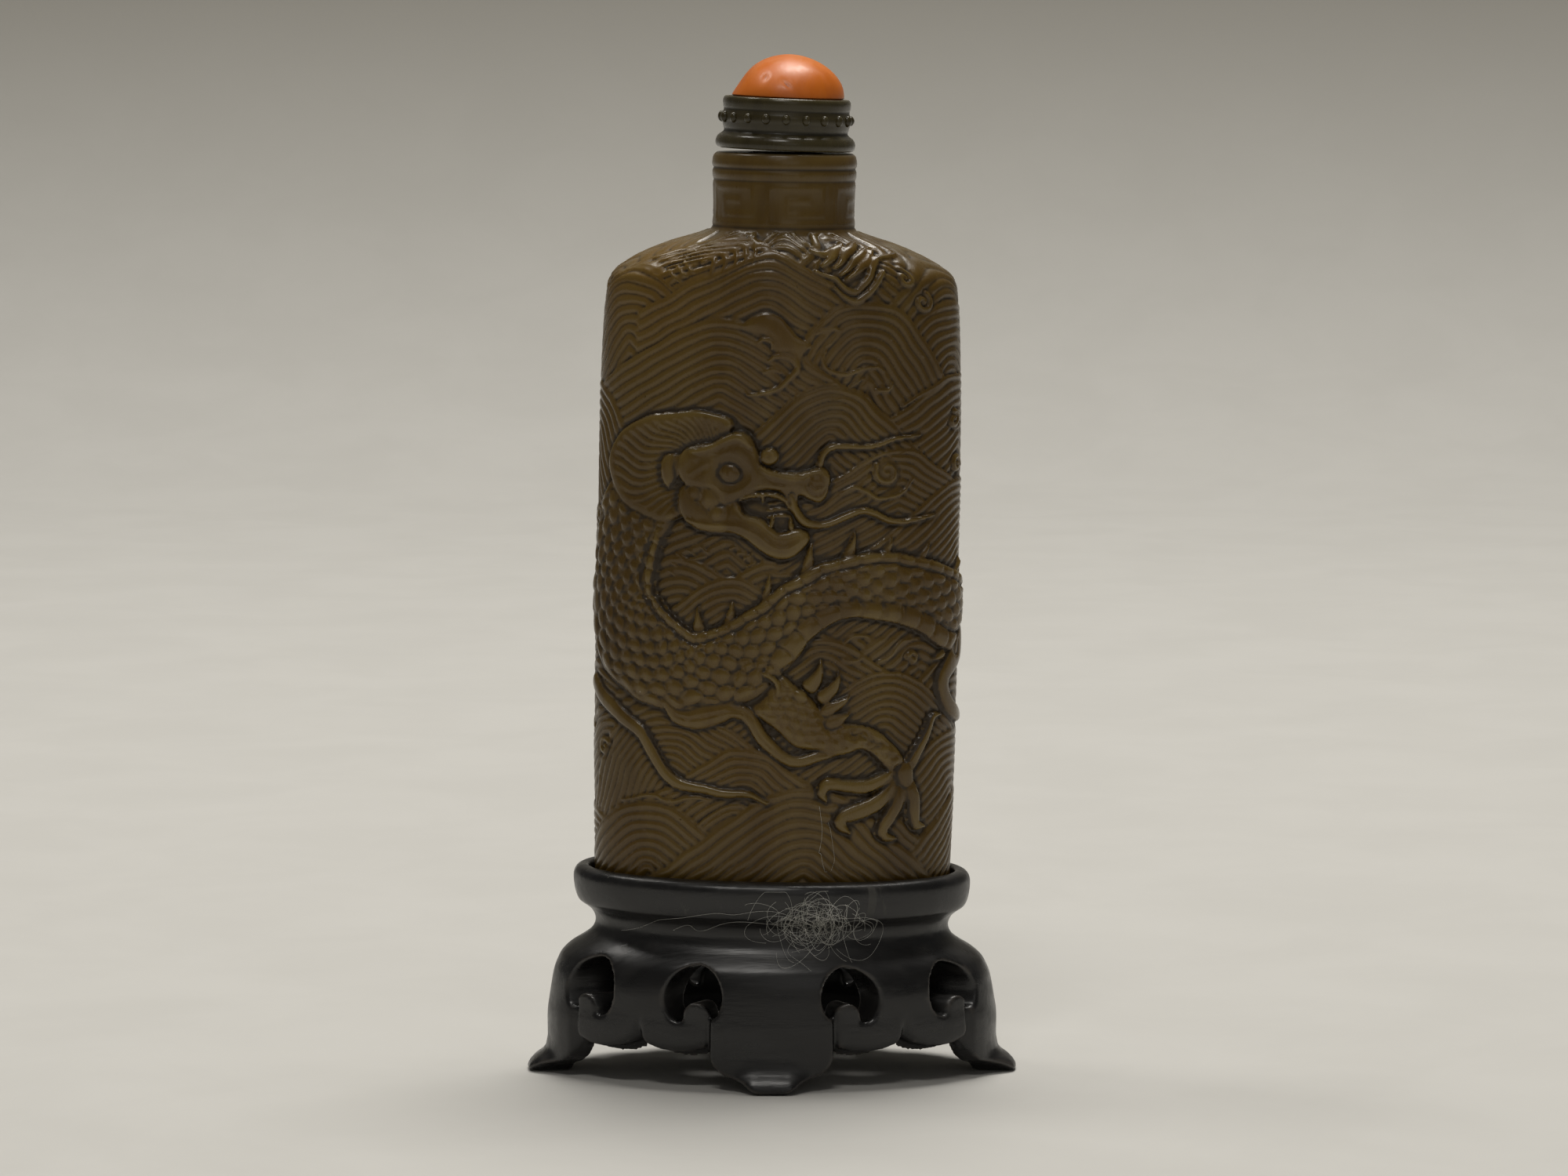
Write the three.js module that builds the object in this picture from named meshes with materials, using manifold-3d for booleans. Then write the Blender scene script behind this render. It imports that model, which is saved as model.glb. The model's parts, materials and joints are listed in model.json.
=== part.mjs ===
// A carved snuff bottle with its stopper, standing in a carved hardwood stand.
// Millimetres, +Z up, the dragon's face of the bottle towards -Y.
// The origin is on the ground under the middle of the stand.

import * as THREE from 'three';
import { mergeVertices } from 'three/addons/utils/BufferGeometryUtils.js';
import Module from 'manifold-3d';

const wasm = await Module();
wasm.setup();

// ---- Driving dimensions ----

const standSegments = 72;
const bottleSegments = 48;
const collarSegments = 32;
const coralSegments = 24;
const corkSegments = 18;

const fitGap = 0.3; // clear space between pieces that rest on or in each other
const leanDeg = 1.0; // the stand's deck, and so the bottle, leans this far towards +X
const stopperTiltDeg = 1.4; // the stopper sits this much further out of true

// Stand: half-widths along X and Y of its outline, with the heights they belong to.
const stand = {
  rim: { x: 18.9, y: 11.1, top: 19.7, bottom: 16.3 },
  waist: { x: 16.9, y: 9.3, z: 14.6 },
  waistFoot: { x: 17.2, y: 9.45, z: 13.6 },
  shoulder: { x: 19.3, y: 10.5, z: 12.1 },
  brow: { x: 20.5, y: 11.2, z: 10.6 }, // where the shoulder turns down into the skirt
  cheek: { x: 21.1, y: 11.5, z: 8.2 },
  skirt: { x: 21.5, y: 11.8, z: 4.5 },
  wall: 2.2, // thickness of the skirt and the rim's lower wall
  deckTop: 16.4, // floor of the recess that holds the bottle
  deckBottom: 13.5, // ceiling of the hollow underside
  // The hollow narrows above its spring: from the front, wood closes the view through every piercing.
  hollow: { x: 15.5, spring: 5.2, ledge: 6.6, upright: 8.5, slanted: 11.6 },
};
// A toe turns out furthest at its lip, a little above the ground.
const toe = { reachX: 1.95, reachY: 1.2, lip: 0.35, instep: 1.1, rise: 2.3, flat: 1.6, fade: 5.0 };
const leg = { half: 6.2, soleHalf: 1.7, kneeZ: 3.4 };
const apron = { lobeZ: 2.8, cuspZ: 4.0, straight: 0.42 };
const scroll = { fromLeg: 7.8, z: 8.8, outerR: 2.75, overhang: 0.45, bossR: 1.2, bossDrop: 1.6 };

// Bottle, measured from the underside of its own foot.
const bottle = {
  halfX: 17.15,
  halfY: 8.8,
  height: 70.9,
  fullness: 2.1, // power of the oval that is its plan: 2 is a true ellipse
  neckR: 6.8,
  neckHeight: 7.4,
  wall: 2.6, // of the body
  floor: 3.0,
  boreR: 3.5,
  neckBlend: 5, // the plan turns from round to oval over this much half-width
};

// Stopper: a cork, a turned collar with a band of beads, and a coral cabochon.
const collar = { footR: 6.6, bodyR: 6.0, beadR: 6.35, height: 4.85, seatR: 5.7, seatDepth: 0.5 };
const cabochon = { r: 5.35, height: 4.3, peakShift: 0.5 };
const cork = { r: 3.05, length: 7.5 };

// ---- Helpers ----

const profilePoint = (r, z) => new THREE.Vector2(r, z);

// A lathe turned about Z: the profile starts and ends on the axis.
function turned(profile, segments) {
  const geometry = new THREE.LatheGeometry(profile, segments);
  geometry.rotateX(Math.PI / 2);
  return geometry;
}

// Moves every vertex of a geometry with a function that edits a Vector3.
function reshaped(geometry, edit) {
  const position = geometry.getAttribute('position');
  const point = new THREE.Vector3();
  for (let i = 0; i < position.count; i += 1) {
    edit(point.fromBufferAttribute(position, i));
    position.setXYZ(i, point.x, point.y, point.z);
  }
  return geometry;
}

// Keeps only the positions, with shared corners merged and no empty triangles.
function welded(geometry) {
  const bare = geometry.clone();
  bare.deleteAttribute('normal');
  bare.deleteAttribute('uv');
  const merged = mergeVertices(bare, 1e-4);
  const index = merged.getIndex().array;
  const kept = [];
  for (let i = 0; i < index.length; i += 3) {
    const [a, b, c] = [index[i], index[i + 1], index[i + 2]];
    if (a !== b && b !== c && c !== a) kept.push(a, b, c);
  }
  merged.setIndex(kept);
  return merged;
}

function toSolid(geometry) {
  const bare = welded(geometry);
  return new wasm.Manifold(new wasm.Mesh({
    numProp: 3,
    vertProperties: Float32Array.from(bare.getAttribute('position').array),
    triVerts: Uint32Array.from(bare.getIndex().array),
  }));
}

function toGeometry(solid) {
  const mesh = solid.getMesh();
  const geometry = new THREE.BufferGeometry();
  geometry.setAttribute('position', new THREE.BufferAttribute(mesh.vertProperties, 3));
  geometry.setIndex(new THREE.BufferAttribute(mesh.triVerts, 1));
  return geometry;
}

function piece(name, geometry, colour, roughness, metalness = 0) {
  const closed = welded(geometry);
  closed.computeVertexNormals();
  const material = new THREE.MeshStandardMaterial({ color: colour, roughness, metalness });
  const mesh = new THREE.Mesh(closed, material);
  mesh.name = name;
  return mesh;
}

// Value at x of a smooth line through a short list of [x, value] pairs.
function along(pairs, x) {
  const last = pairs.length - 1;
  if (x <= pairs[0][0]) return pairs[0][1];
  if (x >= pairs[last][0]) return pairs[last][1];
  const next = pairs.findIndex(([at]) => at >= x);
  const [[x0, v0], [x1, v1]] = [pairs[next - 1], pairs[next]];
  return THREE.MathUtils.lerp(v0, v1, (x - x0) / (x1 - x0));
}

const smooth = (low, high, x) => THREE.MathUtils.smoothstep(x, low, high);

// A point of an oval at an angle from the front. A power above 2 fills its corners.
function ovalPoint(halfX, halfY, power, angle) {
  const bulge = (value) => Math.sign(value) * Math.abs(value) ** (2 / power);
  return [halfX * bulge(Math.sin(angle)), -halfY * bulge(Math.cos(angle))];
}

// A lathe whose levels are squeezed into ovals: shape(level, angle) gives each point.
function ovalLathe(levels, startZ, endZ, segments, shape) {
  const profile = [
    profilePoint(0, startZ),
    ...levels.map((level) => profilePoint(level.x, level.z)),
    profilePoint(0, endZ),
  ];
  const geometry = turned(profile, segments);
  const position = geometry.getAttribute('position');
  const rings = profile.length;
  for (let i = 0; i < position.count; i += 1) {
    const level = levels[(i % rings) - 1];
    if (level !== undefined) {
      const angle = (Math.floor(i / rings) / segments) * Math.PI * 2;
      const [x, y, z = level.z] = shape(level, angle);
      position.setXYZ(i, x, y, z);
    }
  }
  return geometry;
}

// ---- Bottle ----

// Outline heights paired with the half-width and the half-depth there.
function bottleOutside() {
  const { halfX, halfY, height, neckR, neckHeight } = bottle;
  const base = height - neckHeight; // where the neck springs from the shoulder
  return [
    { z: 0.0, x: halfX - 1.2, y: halfY - 1.0 },
    { z: 0.7, x: halfX - 0.5, y: halfY - 0.3 },
    { z: 4.0, x: halfX - 0.2, y: halfY - 0.1 },
    { z: 16.0, x: halfX, y: halfY },
    { z: 40.0, x: halfX, y: halfY },
    { z: 49.0, x: halfX - 0.15, y: halfY },
    { z: 56.0, x: halfX - 0.5, y: halfY - 0.05 },
    { z: 59.0, x: halfX - 0.8, y: halfY - 0.1 },
    { z: 60.2, x: halfX - 2.0, y: halfY - 0.2 },
    { z: 61.3, x: halfX - 3.8, y: halfY - 0.4 },
    { z: 62.3, x: halfX - 6.2, y: halfY - 0.9 },
    { z: 63.1, x: halfX - 8.9, y: halfY - 1.5 },
    { z: base + 0.4, x: neckR + 0.1, y: neckR + 0.1 },
    { z: base + 2.2, x: neckR - 0.1, y: neckR - 0.1 },
    { z: height - 1.8, x: neckR + 0.1, y: neckR + 0.1 },
    { z: height - 0.5, x: neckR, y: neckR },
    { z: height, x: neckR - 0.5, y: neckR - 0.5 },
  ];
}

function bottleInside() {
  const { halfX, halfY, height, wall, floor, boreR } = bottle;
  return [
    { z: height, x: boreR + 0.3, y: boreR + 0.3 },
    { z: height - 0.4, x: boreR, y: boreR },
    { z: 61.5, x: boreR, y: boreR },
    { z: 59.5, x: boreR + 2.0, y: boreR + 1.0 },
    { z: 58.0, x: halfX - wall - 5.0, y: halfY - wall - 0.9 },
    { z: 55.5, x: halfX - wall - 1.3, y: halfY - wall - 0.2 },
    { z: 40.0, x: halfX - wall, y: halfY - wall },
    { z: 8.0, x: halfX - wall, y: halfY - wall },
    { z: floor + 0.8, x: halfX - wall - 1.2, y: halfY - wall - 0.6 },
    { z: floor, x: halfX - wall - 4.0, y: halfY - wall - 2.5 },
  ];
}

// The body is a full oval in plan; towards the neck it becomes round.
function makeBottle() {
  const levels = [...bottleOutside(), ...bottleInside()];
  return ovalLathe(levels, levels[0].z, bottle.floor, bottleSegments, (level, angle) => {
    const body = smooth(bottle.neckR, bottle.neckR + bottle.neckBlend, level.x);
    const power = THREE.MathUtils.lerp(2, bottle.fullness, body);
    return ovalPoint(level.x, level.y, power, angle);
  });
}

// ---- Stand ----

const quarterTurn = Math.PI / 2;

// Angle of the skirt's oval at a distance round it from the front or back leg.
function ovalAngles() {
  const steps = 400;
  const table = [[0, 0]];
  const { x, y } = stand.skirt;
  let length = 0;
  for (let i = 1; i <= steps; i += 1) {
    const angle = ((i - 0.5) / steps) * quarterTurn;
    length += Math.hypot(x * Math.cos(angle), y * Math.sin(angle)) * (quarterTurn / steps);
    table.push([length, (i / steps) * quarterTurn]);
  }
  return table;
}

const angleTable = ovalAngles();
const quarterLength = angleTable.at(-1)[0];
const lengthTable = angleTable.map(([length, angle]) => [angle, length]);

// Distance round the skirt from the nearest leg's middle, for an angle from the front.
function fromNearestLeg(angle) {
  const folded = Math.abs(((angle % Math.PI) + Math.PI) % Math.PI);
  const length = along(lengthTable, folded > quarterTurn ? Math.PI - folded : folded);
  return Math.min(length, quarterLength - length);
}

// Levels of the outside, from the inner edge of the rim down to the ground.
function standOutside() {
  const { rim, waist, waistFoot, shoulder, brow, cheek, skirt } = stand;
  return [
    { x: rim.x - 1.5, y: rim.y - 1.5, z: rim.top - 0.25 },
    { x: rim.x - 1.15, y: rim.y - 1.15, z: rim.top },
    { x: rim.x - 0.6, y: rim.y - 0.6, z: rim.top - 0.1 },
    { x: rim.x - 0.15, y: rim.y - 0.15, z: rim.top - 0.6 },
    { x: rim.x, y: rim.y, z: rim.top - 1.5 },
    { x: rim.x - 0.3, y: rim.y - 0.3, z: rim.bottom + 0.3 },
    { x: rim.x - 1.0, y: rim.y - 0.9, z: rim.bottom - 0.5 },
    waist,
    waistFoot,
    shoulder,
    brow,
    cheek,
    skirt,
    { ...skirt, z: toe.rise },
    { ...skirt, z: toe.instep },
    { ...skirt, z: toe.lip },
    { ...skirt, z: 0 },
  ];
}

// Levels of the hollow underside, from the ground up to its ceiling.
function standInside() {
  const { waist, skirt, wall, deckBottom, hollow } = stand;
  return [
    { x: skirt.x - wall, y: skirt.y - wall, z: 0 },
    { x: skirt.x - wall, y: skirt.y - wall, z: hollow.spring },
    { x: hollow.x, y: skirt.y - wall, z: hollow.ledge },
    { x: hollow.x, y: skirt.y - wall, z: hollow.upright },
    { x: hollow.x - 0.8, y: waist.y - 0.8, z: hollow.slanted },
    { x: waist.x - 3.5, y: waist.y - 2.6, z: deckBottom },
  ];
}

// Levels of the recess in the rim, one fit gap wider than the bottle.
function standRecess() {
  const { deckTop, rim } = stand;
  const [x, y] = [bottle.halfX + fitGap, bottle.halfY + fitGap];
  return [
    { x: x - 0.6, y: y - 0.5, z: deckTop },
    { x: x - 0.2, y: y - 0.1, z: deckTop + 0.6 },
    { x, y, z: rim.top - 0.6 },
  ];
}

// How far a toe turns out of the skirt: 0 at its top, most near the ground.
function toeReach(z) {
  return along([[0, 0.86], [toe.lip, 1], [toe.instep, 0.62], [toe.rise, 0.08], [leg.kneeZ, 0]], z);
}

// Height of the skirt's lower edge at a distance from the nearest leg's middle:
// the rounded tongue of the leg first, then a hanging lobe that ends in a cusp.
function lowerEdge(distance) {
  const { half, soleHalf, kneeZ } = leg;
  if (distance < soleHalf) return 0;
  if (distance < half) {
    const across = (distance - soleHalf) / (half - soleHalf);
    return kneeZ * (1 - Math.sqrt(1 - across ** 2));
  }
  const lobe = (distance - half) / (quarterLength / 2 - half);
  const hang = (lobe - apron.straight) / (1 - apron.straight);
  return apron.lobeZ + (apron.cuspZ - apron.lobeZ) * hang ** 2;
}

// The blank has its toes and its scalloped edge, and is still unpierced and level.
function standBlank() {
  const recess = standRecess();
  const outside = standOutside();
  const inside = standInside();
  const levels = [...recess, ...outside, ...inside];
  return ovalLathe(levels, stand.deckTop, stand.deckBottom, standSegments, (level, angle) => {
    const distance = fromNearestLeg(angle);
    const spread = 1 - smooth(toe.flat, toe.fade, distance);
    const reach = outside.includes(level) ? toeReach(level.z) * spread : 0;
    const power = recess.includes(level) ? bottle.fullness : 2;
    const [halfX, halfY] = [level.x + toe.reachX * reach, level.y + toe.reachY * reach];
    const lift = Math.max(0, 1 - level.z / stand.skirt.z) * lowerEdge(distance);
    return [...ovalPoint(halfX, halfY, power, angle), level.z + lift];
  });
}

// Turns every triangle over if the body is inside out.
function facingOut(geometry) {
  const loose = geometry.index === null ? geometry : geometry.toNonIndexed();
  const position = loose.getAttribute('position');
  const corners = [new THREE.Vector3(), new THREE.Vector3(), new THREE.Vector3()];
  const triple = new THREE.Vector3();
  const read = (i) => corners.map((corner, k) => corner.fromBufferAttribute(position, i + k));
  let volume = 0;
  for (let i = 0; i < position.count; i += 3) {
    const [a, b, c] = read(i);
    volume += a.dot(triple.crossVectors(b, c));
  }
  for (let i = 0; volume < 0 && i < position.count; i += 3) {
    const [, b, c] = read(i);
    position.setXYZ(i + 1, c.x, c.y, c.z);
    position.setXYZ(i + 2, b.x, b.y, b.z);
  }
  return loose;
}

// Outline of one C-shaped piercing: an arch that runs over a round boss.
function scrollOutline() {
  const { z, outerR, overhang, bossR, bossDrop } = scroll;
  const arch = new THREE.Path().absarc(0, z, outerR, -overhang, Math.PI + overhang, false).getPoints(9);
  const boss = new THREE.Path().absarc(0, z - bossDrop, bossR, Math.PI, 0, true).getPoints(5);
  return [...arch, ...boss];
}

const cutFrom = 0.6; // shares of the skirt's half-widths that a cutter spans
const cutTo = 1.25;

// The piercing cut through the skirt beside a leg, in one of the four quarters.
function scrollCutter(flipX, flipY, besideSideLeg) {
  const outline = new THREE.Shape(scrollOutline());
  const geometry = new THREE.ExtrudeGeometry(outline, { depth: 1, bevelEnabled: false });
  const middle = besideSideLeg ? quarterLength - scroll.fromLeg : scroll.fromLeg;
  reshaped(geometry, (point) => {
    const angle = along(angleTable, middle + point.x);
    const scale = THREE.MathUtils.lerp(cutFrom, cutTo, point.z);
    const x = flipX * stand.skirt.x * scale * Math.sin(angle);
    const y = flipY * stand.skirt.y * scale * Math.cos(angle);
    point.set(x, y, point.y);
  });
  return toSolid(facingOut(geometry));
}

// The deck is carved slightly out of level, so the stand shears as it rises.
function makeStand() {
  let solid = toSolid(facingOut(standBlank()));
  for (const flipX of [-1, 1]) {
    for (const flipY of [-1, 1]) {
      solid = solid.subtract(scrollCutter(flipX, flipY, false));
      solid = solid.subtract(scrollCutter(flipX, flipY, true));
    }
  }
  const slope = Math.tan(THREE.MathUtils.degToRad(leanDeg));
  return reshaped(toGeometry(solid), (point) => {
    point.z -= point.x * slope * smooth(apron.cuspZ, stand.waist.z, point.z);
  });
}

// ---- Stopper ----

function makeCollar() {
  const { footR, bodyR, beadR, height, seatR, seatDepth } = collar;
  const floorZ = height - seatDepth;
  const profile = [
    profilePoint(0, 0),
    profilePoint(footR - 0.4, 0),
    profilePoint(footR, 0.35),
    profilePoint(footR, 0.9),
    profilePoint(footR - 0.4, 1.35),
    profilePoint(bodyR - 0.1, 1.75),
    profilePoint(bodyR, 2.2),
    profilePoint(beadR, 2.75),
    profilePoint(beadR, 3.2),
    profilePoint(bodyR, 3.65),
    profilePoint(bodyR + 0.05, height - 0.3),
    profilePoint(bodyR - 0.2, height),
    profilePoint(seatR, height),
    profilePoint(seatR, floorZ),
    profilePoint(0, floorZ),
  ];
  return facingOut(turned(profile, collarSegments));
}

// A pebble-like dome of coral, its top a little off the middle.
function makeCabochon() {
  const { r, height, peakShift } = cabochon;
  const rise = [0, 0.14, 0.3, 0.47, 0.62, 0.77, 0.89, 0.97, 1];
  const radiusAt = (t) => r * (1 - t ** 2.1) ** 0.62;
  const profile = [profilePoint(0, 0), ...rise.map((t) => profilePoint(radiusAt(t), t * height))];
  return reshaped(facingOut(turned(profile, coralSegments)), (point) => {
    point.x += peakShift * smooth(0, height, point.z);
  });
}

function makeCork() {
  const { r, length } = cork;
  const profile = [
    profilePoint(0, -length),
    profilePoint(r - 0.35, -length),
    profilePoint(r, 0),
    profilePoint(0, 0),
  ];
  return facingOut(turned(profile, corkSegments));
}

// ---- Assembly ----

const standMesh = piece('stand', makeStand(), 0x1b1817, 0.42);
const bottleMesh = piece('bottle', facingOut(makeBottle()), 0x3d3520, 0.38);
const collarMesh = piece('stopper_collar', makeCollar(), 0x37341f, 0.4);
const coralMesh = piece('stopper_cabochon', makeCabochon(), 0xb8501e, 0.25);
const corkMesh = piece('stopper_cork', makeCork(), 0x6b4a2c, 0.85);

const stopper = new THREE.Group();
stopper.position.z = bottle.height + fitGap;
stopper.rotation.y = THREE.MathUtils.degToRad(stopperTiltDeg);
corkMesh.position.z = -fitGap;
coralMesh.position.z = collar.height - collar.seatDepth + fitGap;
stopper.add(corkMesh, collarMesh, coralMesh);

const leaning = new THREE.Group();
leaning.position.z = stand.deckTop + fitGap;
leaning.rotation.y = THREE.MathUtils.degToRad(leanDeg);
leaning.add(bottleMesh, stopper);

const group = new THREE.Group();
group.add(standMesh, leaning);

export default group;
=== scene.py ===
# %% [markdown]
# # A carved snuff bottle on its stand
# The object is a flat pebble of a bottle, about seven centimetres tall, cut in low
# relief all over with a dragon among waves. It stands in a carved wooden stand and is
# closed by a turned collar with a coral cabochon on top.
#
# The solid model fixes the sizes and the places. The pieces below keep to its measures,
# in millimetres until they are placed. They add the finer carving as real mesh, and then
# take their finish.

import json
import math

import bpy
import numpy as np
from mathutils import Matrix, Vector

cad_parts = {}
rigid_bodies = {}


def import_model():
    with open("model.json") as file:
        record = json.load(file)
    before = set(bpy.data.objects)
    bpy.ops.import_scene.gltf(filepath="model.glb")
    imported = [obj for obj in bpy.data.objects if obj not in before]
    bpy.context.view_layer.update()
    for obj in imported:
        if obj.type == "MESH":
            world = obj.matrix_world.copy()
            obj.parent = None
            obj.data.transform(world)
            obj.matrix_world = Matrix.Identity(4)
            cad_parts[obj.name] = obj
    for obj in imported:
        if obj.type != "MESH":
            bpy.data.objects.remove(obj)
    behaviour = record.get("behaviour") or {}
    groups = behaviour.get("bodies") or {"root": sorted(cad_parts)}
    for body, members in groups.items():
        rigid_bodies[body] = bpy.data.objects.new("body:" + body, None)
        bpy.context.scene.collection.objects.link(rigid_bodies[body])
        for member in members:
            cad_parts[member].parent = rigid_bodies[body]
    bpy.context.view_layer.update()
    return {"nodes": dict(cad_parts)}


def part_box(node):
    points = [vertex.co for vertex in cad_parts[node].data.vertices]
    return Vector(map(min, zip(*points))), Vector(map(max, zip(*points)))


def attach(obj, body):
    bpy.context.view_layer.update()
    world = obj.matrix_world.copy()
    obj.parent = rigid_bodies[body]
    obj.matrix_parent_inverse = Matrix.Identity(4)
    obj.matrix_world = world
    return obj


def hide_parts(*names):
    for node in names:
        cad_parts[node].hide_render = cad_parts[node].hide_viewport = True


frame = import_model()
MM = 0.001

# %% [markdown]
# ## Floor, light and camera
# Small carved things are shown on a pale sheet that curves up behind them, under one
# large soft light from above and a smaller one at the left. A narrow light high in
# front puts a glint on every crest, and a weak one fills the shade. The sheet's colour
# is painted darker as it rises: painted shade.

# %% A helper for meshes
def mesh_object(name, points, *faces, smooth=True):
    """A mesh object at the origin: points in metres, and tables of faces with one row for each face."""
    data = bpy.data.meshes.new(name)
    corners = np.concatenate([table.ravel() for table in faces])
    counts = np.concatenate([np.full(len(table), table.shape[1]) for table in faces])
    starts = np.concatenate([[0], np.cumsum(counts)[:-1]])
    data.vertices.add(len(points))
    data.vertices.foreach_set("co", np.asarray(points, np.float32).ravel())
    data.loops.add(len(corners))
    data.loops.foreach_set("vertex_index", corners.astype(np.int32))
    data.polygons.add(len(counts))
    data.polygons.foreach_set("loop_start", starts.astype(np.int32))
    data.polygons.foreach_set("use_smooth", np.full(len(counts), smooth))
    data.update(calc_edges=True)
    data.validate()
    made = bpy.data.objects.new(name, data)
    bpy.context.scene.collection.objects.link(made)
    return made


print("mesh helper ready")

# %% Helpers for materials
def joined(tree, kind, links=(), **values):
    """Adds a node: links are (socket or plain value, input name or number); values are settings."""
    node = tree.nodes.new(kind)
    for key, value in values.items():
        setattr(node, key, value)
    for source, target in links:
        if hasattr(source, "is_output"):
            tree.links.new(source, node.inputs[target])
        else:
            node.inputs[target].default_value = source
    return node


class Paint:
    """A node material under construction, with the few steps that every finish takes."""

    def __init__(self, name):
        self.material = bpy.data.materials.new(name)
        self.material.use_nodes = True
        self.tree = self.material.node_tree
        self.shader = self.tree.nodes["Principled BSDF"]

    def place(self):
        """Where on the object a spot is, in metres."""
        return joined(self.tree, "ShaderNodeTexCoord").outputs["Object"]

    def mask(self, name):
        """A value kept on the points of the mesh."""
        return joined(self.tree, "ShaderNodeAttribute", attribute_name=name).outputs["Fac"]

    def feed(self, label, socket):
        """Lets a value that changes over the surface drive the shader."""
        self.tree.links.new(socket, self.shader.inputs[label])

    def even(self, **values):
        """Sets values that are the same all over, with _ for the spaces in their names."""
        for label, value in values.items():
            self.shader.inputs[label.replace("_", " ")].default_value = value

    def rub(self, height, strength, distance):
        """Fine unevenness that the light catches."""
        bump = joined(self.tree, "ShaderNodeBump", [(strength, "Strength"), (distance, "Distance"),
                                                    (height, "Height")])
        self.feed("Normal", bump.outputs[0])

    def dress(self, piece):
        """Makes this the only finish of a piece."""
        piece.data.materials.clear()
        piece.data.materials.append(self.material)


paper = Paint("pale_paper")
paper.even(Roughness=0.9)
print("material helpers ready, first material:", paper.material.name)

# %% The sheet of paper
FLOOR_HALF = 0.9
BACK_AT = 0.55
CURVE_R = 0.25
WALL_TOP = 0.9


def paper_profile():
    """The sheet from front to back: flat, then a quarter round, then upright."""
    turn = np.linspace(0, math.pi / 2, 12)
    bend = [(BACK_AT + CURVE_R * math.sin(a), CURVE_R * (1 - math.cos(a))) for a in turn]
    return [(-1.2, 0.0), *bend, (BACK_AT + CURVE_R, WALL_TOP)]


profile = paper_profile()
paper_points = [(x, y, z) for y, z in profile for x in (-FLOOR_HALF, FLOOR_HALF)]
paper_faces = np.array([(2 * i, 2 * i + 1, 2 * i + 3, 2 * i + 2) for i in range(len(profile) - 1)])
sheet = mesh_object("paper_sheet", paper_points, paper_faces)
paper.dress(sheet)
print("paper sheet with", len(paper_faces), "strips")

# %% Lights
LAMP_COLOUR = (1.0, 0.97, 0.92)


def softbox(name, place, aim, size, power):
    """A rectangular lamp that faces a point."""
    lamp = bpy.data.lights.new(name, "AREA")
    lamp.shape = "RECTANGLE"
    lamp.size, lamp.size_y = size
    lamp.energy = power
    lamp.color = LAMP_COLOUR
    holder = bpy.data.objects.new(name, lamp)
    bpy.context.scene.collection.objects.link(holder)
    x, y, z = (a - p for a, p in zip(aim, place))
    flat = math.hypot(x, y)
    holder.location = place
    holder.rotation_euler = (math.atan2(flat, -z), 0, math.atan2(-x, y) if flat > 1e-6 else 0)
    return holder


middle = (0, 0, 0.05)
softbox("overhead_box", (0.12, 0.26, 1.15), middle, (0.6, 0.5), 13.0)
softbox("left_lamp", (-0.5, 0.2, 0.95), middle, (0.2, 0.2), 1.6)
softbox("high_strip", (-0.1, -0.55, 0.8), middle, (0.3, 0.1), 1.5)
softbox("front_fill", (0.12, -0.7, 0.3), middle, (0.35, 0.35), 0.15)

world = bpy.data.worlds.new("room")
world.use_nodes = True
world.node_tree.nodes["Background"].inputs["Color"].default_value = (1.0, 0.98, 0.94, 1)
world.node_tree.nodes["Background"].inputs["Strength"].default_value = 0.1
bpy.context.scene.world = world
bpy.context.scene.view_settings.view_transform = "Standard"
print("lights placed")

# %% Camera
CAMERA_BACK = 0.481
CAMERA_UP = 0.10113
CAMERA_SIDE = 0.00116
PITCH_DOWN = math.radians(6.495)

lens = bpy.data.cameras.new("long_lens")
lens.lens = 117
lens.sensor_width = 36
lens.clip_start = 0.01
camera = bpy.data.objects.new("camera", lens)
camera.location = (CAMERA_SIDE, -CAMERA_BACK, CAMERA_UP)
camera.rotation_euler = (math.pi / 2 - PITCH_DOWN, 0, 0)
bpy.context.scene.collection.objects.link(camera)
bpy.context.scene.camera = camera
print("camera", camera.location[:], "lens", lens.lens)

# %% [markdown]
# ## The carving as a sheet of heights
# The bottle is cut from one piece, and its carving is low: well under a millimetre. A
# carver draws it on the surface and cuts away round the drawing. The same is done here.
# The outside is unrolled into a flat sheet. One direction runs round the body from the
# middle of the front, the other up from the foot. The carving is laid on that sheet
# layer over layer, as heights in millimetres, and the sheet is then wrapped back.
# Subdividing and sculpting by hand would also work, but could not be repeated.

# %% The bottle's outline
BOTTLE_HALF_X = 17.15
BOTTLE_HALF_Y = 8.8
BOTTLE_FULLNESS = 2.1
BOTTLE_HEIGHT = 70.9
NECK_R = 6.8
NECK_AT = BOTTLE_HEIGHT - 7.4
LEAN = math.radians(1.0)
BOTTLE_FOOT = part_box("bottle")[0].z / MM + math.sin(LEAN) * (BOTTLE_HALF_X - 1.2)

OUTLINE = np.array([  # height, half-width, half-depth
    (0.0, 15.95, 7.8), (0.35, 16.4, 8.25), (0.7, 16.65, 8.5), (1.6, 16.82, 8.62), (4.0, 16.95, 8.7),
    (10.0, 17.08, 8.77), (16.0, 17.15, 8.8), (28.0, 17.15, 8.8), (40.0, 17.15, 8.8), (49.0, 17.0, 8.8),
    (54.0, 16.8, 8.78), (57.5, 16.55, 8.75), (59.0, 16.25, 8.7), (59.7, 15.8, 8.66), (60.3, 15.05, 8.6),
    (61.3, 13.35, 8.4), (62.3, 10.95, 7.95), (63.0, 8.7, 7.4), (63.5, 7.3, 6.95), (64.0, 6.85, 6.85),
    (66.0, 6.72, 6.72), (69.1, 6.85, 6.85), (70.0, 6.88, 6.88), (70.6, 6.75, 6.75), (70.9, 6.4, 6.4),
])


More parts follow.
